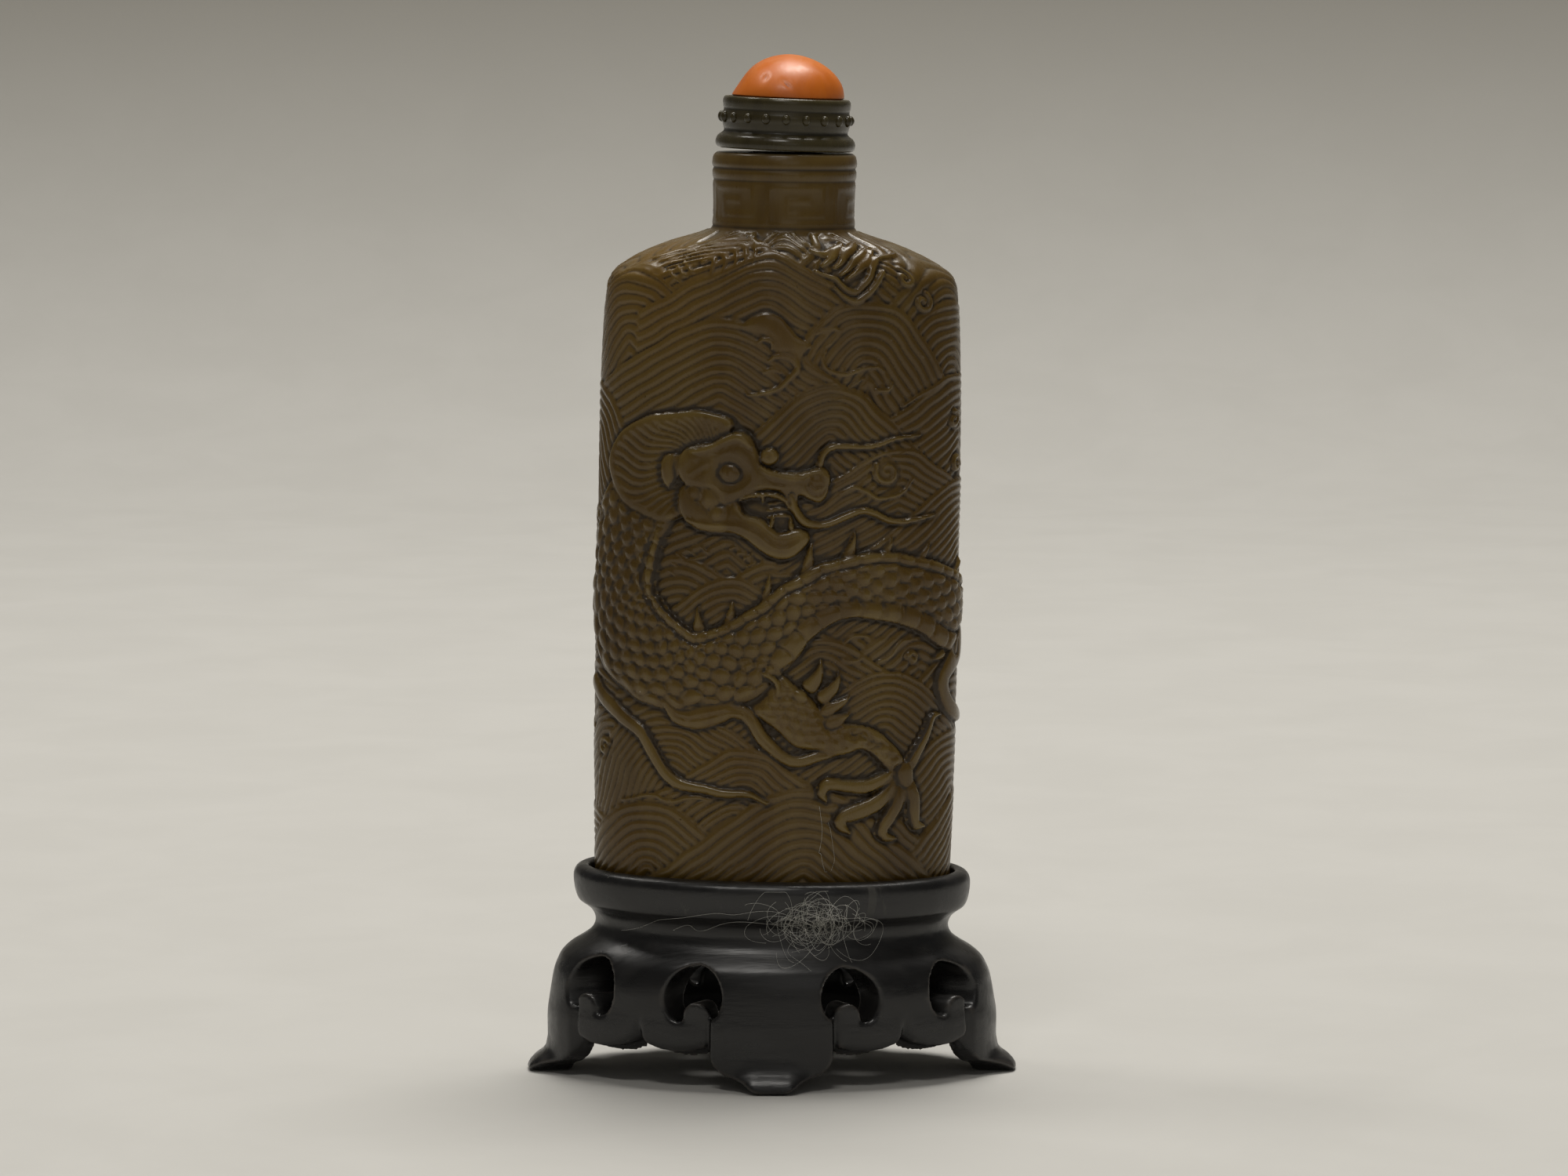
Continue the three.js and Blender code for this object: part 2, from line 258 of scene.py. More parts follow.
def oval(angle, half_x, half_y, power):
    """Points of an oval, the angle measured from the middle of the front."""
    x = half_x * np.sign(np.sin(angle)) * np.abs(np.sin(angle)) ** (2 / power)
    y = -half_y * np.sign(np.cos(angle)) * np.abs(np.cos(angle)) ** (2 / power)
    return x, y


def body_power(half_x):
    """The plan is a full oval on the body and turns round towards the neck."""
    t = np.clip((half_x - NECK_R) / 5.0, 0, 1)
    return 2 + (BOTTLE_FULLNESS - 2) * t * t * (3 - 2 * t)


turn = np.linspace(0, 2 * math.pi, 16001)
round_x, round_y = oval(turn, BOTTLE_HALF_X, BOTTLE_HALF_Y, BOTTLE_FULLNESS)
round_s = np.concatenate([[0], np.cumsum(np.hypot(np.diff(round_x), np.diff(round_y)))])
GIRTH = round_s[-1]
print("way round the body: %.2f mm, foot at %.2f mm" % (GIRTH, BOTTLE_FOOT))

# %% The empty sheet
CELL = 0.08
sheet_cols = int(round(GIRTH / CELL))
sheet_rows = int(round(BOTTLE_HEIGHT / CELL)) + 1
STEP_S = GIRTH / sheet_cols
relief = np.zeros((sheet_rows, sheet_cols))


WANDER = 0.07
WANDER_WAVES = 14
WANDER_LONGEST, WANDER_SHORTEST = 16.0, 4.0


def wander(seed):
    """The small unsteadiness of a hand-held tool: a smooth field that closes round the body."""
    chance = np.random.default_rng(seed)
    s = np.arange(sheet_cols) * STEP_S * 2 * math.pi / GIRTH
    h = np.arange(sheet_rows) * CELL * 2 * math.pi / GIRTH
    field = np.zeros((sheet_rows, sheet_cols))
    for _ in range(WANDER_WAVES):
        turns = chance.integers(-int(GIRTH / WANDER_SHORTEST), int(GIRTH / WANDER_SHORTEST) + 1)
        rises = chance.uniform(GIRTH / WANDER_LONGEST, GIRTH / WANDER_SHORTEST)
        field += np.sin(turns * s[None, :] + rises * h[:, None] + chance.uniform(0, 2 * math.pi))
    return field * WANDER * math.sqrt(2 / WANDER_WAVES)


wander_s, wander_h = wander(3), wander(8)


class Patch:
    """A window on the sheet. s and h hold the place of every cell in millimetres."""

    def __init__(self, s_low, s_high, h_low, h_high):
        low = max(0, int(h_low / CELL))
        high = min(sheet_rows, int(h_high / CELL) + 2)
        first = int(math.floor(s_low / STEP_S))
        count = min(sheet_cols, int((s_high - s_low) / STEP_S) + 2)
        columns = np.arange(first, first + count)
        self.where = np.ix_(np.arange(low, high), columns % sheet_cols)
        self.s, self.h = np.meshgrid(columns * STEP_S, np.arange(low, high) * CELL)
        self.s = self.s + wander_s[self.where]
        self.h = self.h + wander_h[self.where]

    def lay(self, heights, cover):
        """Covers the sheet with new heights where cover is 1, blending where it is less."""
        below = relief[self.where]
        relief[self.where] = below + (heights - below) * cover

    def sink(self, outside, depth, reach):
        """Cuts the ground down beside a raised thing, most at its edge."""
        relief[self.where] -= depth * np.where(outside > 0, np.exp(-((outside / reach) ** 2)), 0)


print("sheet of", sheet_rows, "by", sheet_cols, "cells")

# %% Soft steps and rounded lines
def ease(low, high, value):
    """0 at low and 1 at high, with a soft start and end."""
    t = np.clip((value - low) / (high - low), 0, 1)
    return t * t * (3 - 2 * t)


def rounded(p, spacing):
    """A rounded line from the second point to the last but one, in steps of about the spacing."""
    out = []
    for a, b, c, d in zip(p, p[1:], p[2:], p[3:]):
        steps = max(2, int(np.hypot(*(c - b)[:2]) / spacing))
        t = (np.arange(steps) / steps)[:, None]
        out.append(0.5 * (2 * b + (c - a) * t + (2 * a - 5 * b + 4 * c - d) * t**2
                          + (3 * b - a - 3 * c + d) * t**3))
    return np.vstack(out)


def smooth_line(points, spacing=0.2):
    """A rounded line through a few points of any number of values each."""
    p = np.asarray(points, float)
    if len(p) == 2:
        steps = max(2, int(np.hypot(*(p[1] - p[0])[:2]) / spacing))
        return p[0] + (p[1] - p[0]) * np.linspace(0, 1, steps)[:, None]
    return np.vstack([rounded(np.vstack([2 * p[0] - p[1], p, 2 * p[-1] - p[-2]]), spacing), p[-1]])


def closed_line(points):
    """A rounded closed outline through a few points."""
    p = np.asarray(points, float)
    return rounded(np.vstack([p[-1:], p, p[:2]]), 0.3)


print("bottle's outline: %d steps through %d points" % (len(smooth_line(OUTLINE)), len(OUTLINE)))

# %% [markdown]
# ## Waves
# The whole ground is cut as nested wave crests, like the scales of a fish. Each fan of
# crests has a round cap and two straight flanks. Every line in a fan keeps the same
# distance from the next. That is the distance to a wedge, so one formula draws them all.

# %% One fan of wave crests
EDGE_SOFT = 0.1
CREST = 0.17


def crests(distance, pitch):
    """Rounded ridges with a narrow cut between them."""
    return np.abs(np.sin(math.pi * distance / pitch)) ** 0.55


def fan(s, h, outer, pitch, left, right, reach=7.0):
    """Crests round the point (s, h); left and right are the slopes of the flanks."""
    patch = Patch(s - outer - reach, s + outer + reach, h - reach, h + outer + 0.2)
    x, y = patch.s - s, patch.h - h
    a, b = math.radians(left), math.radians(right)
    off_left, along_left = -x * math.sin(a) + y * math.cos(a), -x * math.cos(a) - y * math.sin(a)
    off_right, along_right = x * math.sin(b) + y * math.cos(b), x * math.cos(b) - y * math.sin(b)
    distance = np.hypot(x, y)
    distance = np.where((along_left > 0) & (x < 0), off_left, distance)
    distance = np.where((along_right > 0) & (x > 0), off_right, distance)
    within = (off_left < 0) & (off_right < 0)
    distance = np.where(within, np.maximum(off_left, off_right), distance)
    rise = CREST * (crests(distance, pitch) - 0.6) + 0.1 * distance / outer
    inside = ease(0, EDGE_SOFT, outer - distance)
    fade = ease(-reach, -reach + 0.6, y) * ease(0, 0.8, outer + reach - np.abs(x))
    patch.sink(distance - outer, 0.05, 0.3)
    patch.lay(rise, inside * fade)


print("crests %.2f mm high" % CREST)

# %% Plain waves all round
WAVES_ROUND = 9
WAVE_ROWS = 13
ROW_RISE = 5.2


def plain_waves():
    """Rows of fans all round, each row laid over the one above and set half a fan along."""
    spacing = GIRTH / WAVES_ROUND
    for row in reversed(range(WAVE_ROWS)):
        for i in range(WAVES_ROUND):
            s = (i + 0.5 * (row % 2)) * spacing
            tilt = 6 * math.sin(1.7 * i + 2.3 * row)
            fan(s, row * ROW_RISE - 3.0, 5.16, 0.86, 34 + tilt, 34 - tilt, reach=5.0)


plain_waves()
print("plain waves, heights from %.2f to %.2f mm" % (relief.min(), relief.max()))

# %% The waves of the front
# s, h, outer radius, pitch, left slope, right slope; the furthest back come first.
UPPER_WAVES = [
    (-15.0, 54.6, 6.0, 1.0, 50, 42), (-4.5, 57.6, 5.4, 0.9, 24, 30), (8.2, 56.8, 6.0, 0.9, 40, 40),
    (17.5, 55.0, 6.3, 0.9, 42, 50), (-15.4, 53.0, 7.0, 0.95, 52, 33), (-1.6, 55.8, 6.2, 0.9, 28, 30),
    (18.0, 49.6, 8.0, 0.88, 45, 60), (8.2, 50.9, 6.7, 0.84, 58, 56), (-5.7, 48.0, 7.8, 0.86, 30, 32),
    (19.4, 43.4, 7.2, 0.82, 30, 43), (4.8, 44.4, 5.5, 0.75, 43, 43), (11.5, 38.8, 5.0, 0.75, 30, 30),
    (20.0, 32.6, 8.2, 0.75, 36, 40), (-20.5, 44.0, 5.2, 0.86, 44, 60),
]
LOWER_WAVES = [
    (-4.4, 27.3, 4.3, 0.72, 36, 34), (4.5, 21.0, 5.0, 0.72, 36, 34), (10.7, 16.6, 6.2, 0.72, 36, 40),
    (-16.0, 12.8, 5.2, 0.8, 40, 40), (-10.2, 11.3, 8.2, 0.68, 70, 33), (19.0, 10.5, 6.4, 0.8, 40, 40),
    (-2.9, 10.3, 5.2, 0.74, 33, 40), (-3.6, 7.9, 2.4, 0.66, 36, 40), (7.5, 6.5, 5.0, 0.8, 40, 40),
    (-21.5, 1.5, 7.8, 0.86, 42, 42), (-12.2, 3.1, 7.1, 0.86, 42, 40), (24.5, 0.4, 11.4, 0.8, 43, 43),
    (2.9, 3.3, 8.6, 0.95, 37, 41), (13.2, -1.6, 4.0, 0.8, 42, 42),
]
for wave in UPPER_WAVES + LOWER_WAVES:
    fan(*wave)
print(len(UPPER_WAVES + LOWER_WAVES), "fans of waves on the front")

# %% [markdown]
# ## Lines that rise from the ground
# Fins, whiskers, claws and clouds are all strips along a curve whose width changes. One
# helper finds, for every cell near the curve, how far along it the cell lies and how far
# to its side. The strip, its rounding and any pattern across it follow from those two.

# %% Following a curve
class Strip:
    """Cells near a curve: along it, across it (left is positive), and its half-width."""

    def __init__(self, points):
        line = smooth_line(points)
        widest = line[:, 2].max() + 1.0
        low, high = line.min(0) - widest, line.max(0) + widest
        self.patch = Patch(low[0], high[0], low[1], high[1])
        s, h = self.patch.s, self.patch.h
        self.distance = np.full(s.shape, 99.0)
        self.along, self.across = np.zeros(s.shape), np.zeros(s.shape)
        self.half = np.full(s.shape, 0.01)
        travelled = 0.0
        for a, b in zip(line, line[1:]):
            length = math.hypot(b[0] - a[0], b[1] - a[1])
            if length > 0:
                self._closer(a, b, length, travelled, widest)
            travelled += length
        self.length = travelled
        self.outside = self.distance - self.half
        self.ratio = np.clip(self.distance / self.half, 0, 1)

    def dome(self, fall=0.9, power=2.2):
        """1 along the middle of the strip, curving down towards its edges."""
        return np.sqrt(1 - fall * self.ratio**power)

    def lay(self, rise, depth, reach, soft=(0.05, -0.08), fade=1.0):
        """Cuts the ground down beside the strip and lays new heights inside it."""
        self.patch.sink(self.outside, depth, reach)
        self.patch.lay(rise, ease(*soft, self.outside) * fade)

    def _closer(self, a, b, length, travelled, widest):
        """Keeps this bit of the curve for every cell that it is nearest to."""
        s, h = self.patch.s, self.patch.h
        rows = slice(*np.searchsorted(h[:, 0], sorted((a[1], b[1])) + np.array([-widest, widest])))
        cols = slice(*np.searchsorted(s[0], sorted((a[0], b[0])) + np.array([-widest, widest])))
        x, y = s[rows, cols] - a[0], h[rows, cols] - a[1]
        ux, uy = (b[0] - a[0]) / length, (b[1] - a[1]) / length
        t = np.clip(x * ux + y * uy, 0, length)
        off = np.hypot(x - t * ux, y - t * uy)
        near = off < self.distance[rows, cols]
        self.distance[rows, cols][near] = off[near]
        self.along[rows, cols][near] = (travelled + t)[near]
        self.across[rows, cols][near] = (np.sign(ux * y - uy * x) * off)[near]
        self.half[rows, cols][near] = (a[2] + (b[2] - a[2]) * t / length)[near]


def tapered(points, widths):
    """Adds a half-width to every point of a curve, spread evenly from a few widths."""
    at = np.linspace(0, 1, len(points))
    spread = np.interp(at, np.linspace(0, 1, len(widths)), widths)
    return [(s, h, w) for (s, h), w in zip(points, spread)]


RIBBON_SOFT = (0.04, -0.06)


def ribbon(points, widths, level=0.08, height=0.3, sink=0.12, crease=0.0):
    """A rounded strip along a curve; crease cuts a groove down its middle."""
    strip = Strip(tapered(points, widths))
    rise = level + height * strip.dome(0.92, 2)
    rise -= crease * np.exp(-((strip.distance / 0.14) ** 2))
    strip.lay(rise, sink, 0.35, RIBBON_SOFT)


print("ribbons ready")

# %% Outlined shapes
def outline_distance(s, h, outline):
    """How deep inside a closed outline each cell lies; negative outside."""
    inside = np.zeros(s.shape, bool)
    nearest = np.full(s.shape, 99.0)
    for (x0, y0), (x1, y1) in zip(outline, np.roll(outline, -1, 0)):
        ex, ey = x1 - x0, y1 - y0
        px, py = s - x0, h - y0
        t = np.clip((px * ex + py * ey) / (ex * ex + ey * ey + 1e-12), 0, 1)
        nearest = np.minimum(nearest, np.hypot(px - t * ex, py - t * ey))
        if y1 != y0:
            crossing = ((y0 > h) != (y1 > h)) & (px < ex * py / ey)
            inside ^= crossing
    return np.where(inside, nearest, -nearest)


def raised(points, level, height, bevel=0.5, sink=0.15):
    """A raised shape with rounded edges. Gives back its window and depth inside."""
    outline = closed_line(points)
    low, high = outline.min(0) - 1.2, outline.max(0) + 1.2
    patch = Patch(low[0], high[0], low[1], high[1])
    depth = outline_distance(patch.s, patch.h, outline)
    round_off = np.clip(depth / bevel, 0, 1)
    patch.sink(-depth, sink, 0.4)
    patch.lay(level + height * np.sqrt(1 - (1 - round_off) ** 2), ease(-0.05, 0.05, depth))
    return patch, depth


def boss(s, h, radius, height, level=None, dimple=0.0):
    """A small round knob, with or without a drilled middle."""
    patch = Patch(s - radius - 0.6, s + radius + 0.6, h - radius - 0.6, h + radius + 0.6)
    off = np.hypot(patch.s - s, patch.h - h)
    below = relief[patch.where]
    base = below if level is None else level
    dome = np.sqrt(np.clip(1 - (off / radius) ** 2, 0, 1))
    rise = base + height * dome - dimple * np.exp(-((off / (0.45 * radius)) ** 2))
    patch.sink(off - radius, 0.1, 0.2)
    patch.lay(rise, ease(0.05, -0.05, off - radius))


def spiral(s, h, radius, turns, width=0.3, height=0.22, start=0.0, way=1):
    """A curl of cloud: a strip that winds in to its middle."""
    t = np.linspace(0, 1, int(12 * turns))
    angle = math.radians(start) + way * t * turns * 2 * math.pi
    reach = radius * (1 - 0.85 * t)
    points = [(s + r * math.cos(a), h + r * math.sin(a)) for r, a in zip(reach, angle)]
    ribbon(points, [width, width * 0.7], height=height, level=0.02)


print("outlined shapes, bosses and spirals ready")

# %% [markdown]
# ## The dragon
# The dragon swims across the whole front. Its mane and long neck are at the left, the
# open jaws in the middle, and the scaled body crosses to the right and round the side.
# Everything on it stands a little above the waves, and each part is laid over the last
# as the carver cut it.

# %% Scales and fins
SCALE_LONG = 1.25
SCALE_WIDE = 1.5
FIN_LONG = 1.9


def scales(along, across, long=SCALE_LONG, wide=SCALE_WIDE):
    """Domed scales in staggered rows, each rising to its tip; 0 in the cuts between."""
    nearest = np.full(along.shape, 9.0)
    tip = np.zeros(along.shape)
    first = np.floor(along / long)
    for step in (-1, 0, 1, 2):
        row = first + step
        shift = 0.5 * (row % 2)
        column = np.round(across / wide - shift) + shift
        off = np.hypot((along / long - row) / 0.74, (across / wide - column) / 0.5)
        tip = np.where(off < nearest, along / long - row, tip)
        nearest = np.minimum(nearest, off)
    return np.sqrt(np.clip(1 - nearest**2.2, 0, 1)) * (0.75 + 0.55 * tip)


def spike(s, h, aim, length, half, bend=0.0, height=0.28, level=0.1):
    """A pointed fin or flame from its root towards an angle, bending as it goes."""
    angle = math.radians(aim)
    points = [(s, h)]
    for _ in range(3):
        points.append((points[-1][0] + length / 3 * math.cos(angle),
                       points[-1][1] + length / 3 * math.sin(angle)))
        angle += math.radians(bend)
    ribbon(points, [half, half * 0.8, half * 0.45, 0.05], level=level, height=height, sink=0.06)


def fins(path, first, last, gap, side):
    """Pointed fins along one edge of a body, leaning back towards the tail."""
    line = smooth_line(path)
    steps = np.hypot(*np.diff(line[:, :2], axis=0).T)
    at = np.concatenate([[0], np.cumsum(steps)])
    for place in np.arange(first, last, gap):
        s, h, half = (np.interp(place, at, line[:, k]) for k in range(3))
        ahead = [np.interp(place + 0.5, at, line[:, k]) for k in range(2)]
        heading = math.atan2(ahead[1] - h, ahead[0] - s)
        out = heading + side * math.pi / 2
        root = (s + (half - 0.3) * math.cos(out), h + (half - 0.3) * math.sin(out))
        spike(*root, math.degrees(out) - side * 38, FIN_LONG, 0.55, bend=side * 14)


print("scales %.2f by %.2f mm" % (SCALE_LONG, SCALE_WIDE))

# %% The scaled body
RIDGE_WIDE = 1.05
RIDGE_PLATE = 1.6
BODY_LEVEL = 0.12
BODY_PATH = [  # s, h, half-width, from behind the mane to the end of the tail
    (-12.0, 40.5, 3.4), (-14.6, 36.5, 4.2), (-15.8, 32.0, 4.1), (-15.8, 27.8, 4.9), (-12.8, 24.4, 4.6),
    (-8.4, 22.4, 4.0), (-4.2, 23.4, 3.8), (-0.6, 26.1, 3.2), (2.2, 29.0, 2.5), (5.6, 31.1, 2.3),
    (10.0, 31.5, 2.5), (14.4, 30.5, 2.8), (18.6, 29.0, 2.9), (23.0, 28.4, 2.7), (27.6, 31.0, 2.6),
    (32.0, 34.6, 2.4), (37.0, 36.0, 2.2), (41.6, 33.2, 2.0), (43.2, 28.0, 1.8), (40.6, 23.4, 1.5),
    (36.0, 21.4, 1.2), (31.6, 22.6, 0.9), (29.2, 25.4, 0.5),
]
FRONT_FINS = [  # root, tip
    (-7.4, 25.9, -7.3, 28.6), (-4.6, 26.6, -4.1, 29.4), (-1.1, 28.4, -0.7, 31.9),
    (2.7, 31.6, 3.2, 34.8), (6.6, 33.0, 7.1, 35.9), (10.0, 33.3, 10.7, 35.4), (13.6, 32.8, 14.8, 34.8),
    (-15.4, 36.4, -17.6, 34.4),
]
for root_s, root_h, tip_s, tip_h in FRONT_FINS:
    ribbon([(root_s, root_h), (tip_s, tip_h)], [0.8, 0.6, 0.05], level=0.1, height=0.26, sink=0.08)
fins(BODY_PATH, 53.0, 92.0, 3.7, 1)
body = Strip(BODY_PATH)
body_rise = BODY_LEVEL + 0.2 * body.dome(power=2.4)
body_rise += 0.34 * scales(body.along, body.across) * ease(1.0, 0.82, body.ratio)
from_edge = body.half - body.across
plate_dome = np.sqrt(np.clip(1 - 0.85 * (2 * from_edge / RIDGE_WIDE - 1) ** 2, 0, 1))
plate_cut = np.abs((body.along / RIDGE_PLATE) % 1 - 0.5) * RIDGE_PLATE
ridge = 0.22 + 0.28 * plate_dome * (1 - 0.5 * np.exp(-((plate_cut / 0.16) ** 2)))
in_ridge = ease(RIDGE_WIDE + 0.06, RIDGE_WIDE - 0.06, from_edge) * ease(4.0, 5.0, body.along)
body_rise += (ridge - body_rise) * in_ridge
body_rise -= 0.14 * np.exp(-(((from_edge - RIDGE_WIDE) / 0.16) ** 2)) * ease(4.0, 5.0, body.along)
body.lay(body_rise, 0.16, 0.5)
print("body %.0f mm long" % body.length)

# %% Belly plates, fins and ribbons of the body
BELLY = [
    (-0.9, 22.4, 0.3), (0.6, 24.3, 0.85), (2.4, 26.4, 0.95), (4.6, 28.1, 0.85), (7.4, 28.8, 0.8),
    (10.2, 28.5, 0.85), (13.2, 27.7, 0.95), (16.4, 25.9, 0.9), (19.6, 25.0, 0.85), (23.4, 25.2, 0.8),
    (28.2, 27.8, 0.75), (32.8, 31.6, 0.7), (37.0, 33.2, 0.65), (40.2, 31.4, 0.6), (41.2, 27.8, 0.5),
    (39.4, 24.8, 0.4), (36.0, 23.0, 0.25),
]
PLATE = 2.05


def plates(points):
    """A band of belly plates: a rounded strip with a cut across it at every plate."""
    strip = Strip(points)
    cut = np.abs((strip.along / PLATE + 0.12 * strip.ratio**2) % 1 - 0.5) * PLATE
    rise = 0.24 + 0.32 * strip.dome(power=2) - 0.14 * np.exp(-((cut / 0.13) ** 2))
    strip.lay(rise, 0.1, 0.3, RIBBON_SOFT)


FOLD = [
    (-10.5, 19.5), (-9.5, 18.6), (-8.1, 18.1), (-6.8, 18.3), (-5.2, 18.9), (-4.2, 19.2), (-3.2, 19.0),
    (-2.3, 18.3), (-1.4, 16.9), (-0.6, 15.9), (0.6, 14.9), (2.2, 14.4), (4.4, 14.9), (6.6, 15.6),
]
STREAMER = [
    (-19.4, 20.6), (-17.3, 19.2), (-15.2, 18.0), (-13.0, 16.6), (-11.7, 14.8), (-10.4, 12.9),
    (-8.2, 11.7), (-5.4, 11.3), (-2.6, 11.1), (-0.6, 10.4),
]
plates(BELLY)
ribbon(FOLD, [0.3, 0.8, 1.05, 1.0, 0.75, 0.65, 0.6, 0.6, 0.6, 0.5, 0.2], height=0.36, crease=0.08)
ribbon(STREAMER, [0.9, 0.75, 0.65, 0.6, 0.5, 0.38, 0.14], height=0.32)
print("belly, fold and streamer laid")

# %% The foreleg and its claws
FORELEG = [
    (-1.6, 21.4, 2.3), (0.8, 19.6, 2.3), (3.0, 17.7, 2.1), (5.6, 16.6, 1.5), (8.3, 16.6, 1.1),
    (10.4, 15.3, 1.15), (11.9, 13.4, 0.95),
]
CLAWS = [  # curve, half-widths
    ([(12.2, 12.9), (10.6, 12.5), (8.6, 12.0), (6.6, 12.0), (5.0, 12.2), (4.5, 11.4), (4.9, 10.6)],
     [0.8, 0.7, 0.65, 0.65, 0.65, 0.45, 0.1]),
    ([(12.3, 12.6), (11.2, 11.4), (9.6, 10.3), (7.8, 9.5), (6.3, 8.9), (6.4, 8.1), (7.2, 7.4)],
     [0.8, 0.75, 0.75, 0.75, 0.65, 0.45, 0.08]),
    ([(12.6, 12.4), (12.0, 10.8), (11.2, 9.2), (10.5, 8.0), (10.8, 7.2), (12.0, 6.9)],
     [0.8, 0.75, 0.75, 0.7, 0.5, 0.08]),
    ([(12.9, 12.4), (13.4, 10.8), (13.6, 9.4), (14.1, 8.1), (15.2, 7.9)], [0.8, 0.75, 0.75, 0.6, 0.1]),
    ([(12.5, 13.0), (13.5, 14.2), (14.4, 15.8), (15.0, 17.2), (15.6, 18.4), (16.6, 18.6)],
     [0.6, 0.6, 0.5, 0.45, 0.3, 0.08]),
]
leg = Strip(FORELEG)
leg_rise = 0.2 + 0.26 * leg.dome()
leg_rise += 0.2 * scales(leg.along, leg.across, 0.95, 1.1) * ease(1.0, 0.8, leg.ratio)
leg.lay(leg_rise, 0.1, 0.35, fade=ease(0.4, 1.8, leg.along))
for aim, s, h, length in ((62, 3.4, 21.6, 2.4), (48, 4.6, 20.6, 2.9), (20, 4.9, 19.2, 2.4),
                          (8, 5.2, 18.0, 2.0)):
    spike(s, h, aim, length, 0.75, bend=12, height=0.34, level=0.16)
for curve, widths in CLAWS:
    ribbon(curve, widths, level=0.14, height=0.36, sink=0.16)
boss(12.5, 12.9, 1.05, 0.2, level=0.34)
boss(2.4, 20.5, 0.6, 0.16, level=0.46)
ribbon([(-1.1, 22.5), (0.2, 21.8), (0.4, 20.7)], [0.1, 0.25, 0.1], level=0.4, height=0.2, sink=0.08)
for s, h, aim, length in ((7.4, 17.2, 5, 1.2), (8.4, 16.9, -48, 1.1), (8.8, 15.8, 15, 1.2)):
    spike(s, h, aim, length, 0.4, height=0.3)
HIND = [
    (21.6, 25.4, 1.3), (18.6, 23.6, 1.2), (16.9, 21.8, 0.9), (17.6, 19.6, 0.8), (20.4, 18.0, 0.7),
    (23.0, 17.4, 0.5),
]
hind = Strip(HIND)
hind.lay(0.15 + 0.34 * hind.dome(), 0.1, 0.35)
spike(16.6, 24.2, 200, 1.4, 0.5)
spike(19.0, 24.4, 75, 1.6, 0.5, bend=-20)
for aim in (-60, -20, 25, 80):
    spike(23.0, 17.4, aim, 3.4, 0.5, bend=-16, height=0.32)
print("foreleg, hind leg and claws laid")

# %% The mane
MANE = [
    (-4.6, 46.4), (-7.8, 47.1), (-10.7, 46.8), (-13.2, 46.2), (-15.3, 45.1), (-16.7, 43.6),
    (-17.3, 42.0), (-17.0, 40.4), (-15.8, 38.8), (-14.2, 37.6), (-12.4, 36.8), (-10.6, 36.6),
    (-7.6, 38.4), (-5.4, 42.0), (-4.6, 44.6),
]
HAIR_FROM = (-4.6, 41.0)
mane, mane_depth = raised(MANE, 0.12, 0.26, bevel=0.35)
hair_s, hair_h = mane.s - HAIR_FROM[0], mane.h - HAIR_FROM[1]
hair_angle = np.arctan2(hair_h, -hair_s)
hair_far = np.hypot(hair_s, hair_h)
strands = crests(hair_angle + 0.05 * np.sin(hair_far * 0.9), 0.088)
combed = ease(0.55, 1.0, mane_depth) * ease(2.0, 3.4, hair_far)
hollow = 0.1 * ease(0.5, 2.0, mane_depth)
mane.lay(0.38 - hollow + 0.15 * (strands - 0.7), combed)
print("mane laid")

# %% The face
FACE = [
    (-9.2, 42.9), (-7.6, 44.0), (-5.6, 44.1), (-4.9, 44.8), (-3.7, 45.2), (-2.6, 44.8), (-1.9, 43.4),
    (-1.3, 41.9), (0.4, 41.5), (2.4, 41.6), (4.0, 42.0), (4.7, 41.2), (4.4, 39.6), (3.6, 38.9),
    (2.7, 39.2), (1.9, 39.4), (1.7, 38.0), (1.3, 38.0), (0.3, 39.4), (-0.8, 39.8), (-1.9, 39.6),
    (-3.3, 38.9), (-6.0, 38.6), (-9.0, 40.6),
]
LOWER_JAW = [
    (-9.6, 38.8), (-9.2, 37.2), (-7.6, 36.2), (-5.8, 35.7), (-4.1, 35.7), (-3.0, 35.3), (-1.8, 34.3),
    (-0.6, 33.6), (0.6, 33.5), (1.9, 34.0), (2.9, 35.0), (2.8, 35.8), (1.8, 36.3), (0.9, 36.1),
    (0.1, 35.9), (-0.7, 36.5), (-1.6, 37.2), (-3.0, 37.5), (-3.6, 38.4), (-4.6, 39.6), (-7.0, 40.6),
    (-8.9, 40.2),
]
MOUTH = [
    (-3.6, 39.0), (-1.9, 39.7), (-0.6, 39.8), (0.6, 39.3), (1.6, 37.9), (1.8, 36.6), (0.4, 36.2),
    (-1.2, 37.2), (-3.2, 37.6),
]
TEMPLE = [(-11.1, 42.3), (-9.8, 42.8), (-8.4, 42.4), (-9.2, 41.2), (-10.3, 40.0), (-11.2, 41.0)]
raised(TEMPLE, 0.3, 0.22, bevel=0.5)
raised(MOUTH, 0.0, 0.02, bevel=0.2, sink=0.0)
raised(LOWER_JAW, 0.3, 0.34, bevel=0.8)
raised(FACE, 0.34, 0.36, bevel=0.9)
BROWS = [  # curve, half-widths, level, height, cut beside it
    ([(-7.9, 43.4), (-6.2, 43.7), (-4.9, 44.3), (-3.6, 44.7), (-2.6, 44.0)],
     [0.2, 0.35, 0.4, 0.4, 0.2], 0.56, 0.22, 0.06),
    ([(-1.6, 42.0), (-0.6, 41.2), (0.8, 40.9), (2.2, 40.9)], [0.2, 0.5, 0.5, 0.2], 0.56, 0.14, 0.02),
    ([(-2.9, 39.7), (-1.4, 40.3), (0.4, 40.1), (1.8, 39.9)], [0.1, 0.3, 0.3, 0.1], 0.54, 0.12, 0.05),
    ([(-8.2, 41.2), (-7.2, 42.1), (-6.4, 42.4)], [0.2, 0.6, 0.2], 0.54, 0.16, 0.04),
]
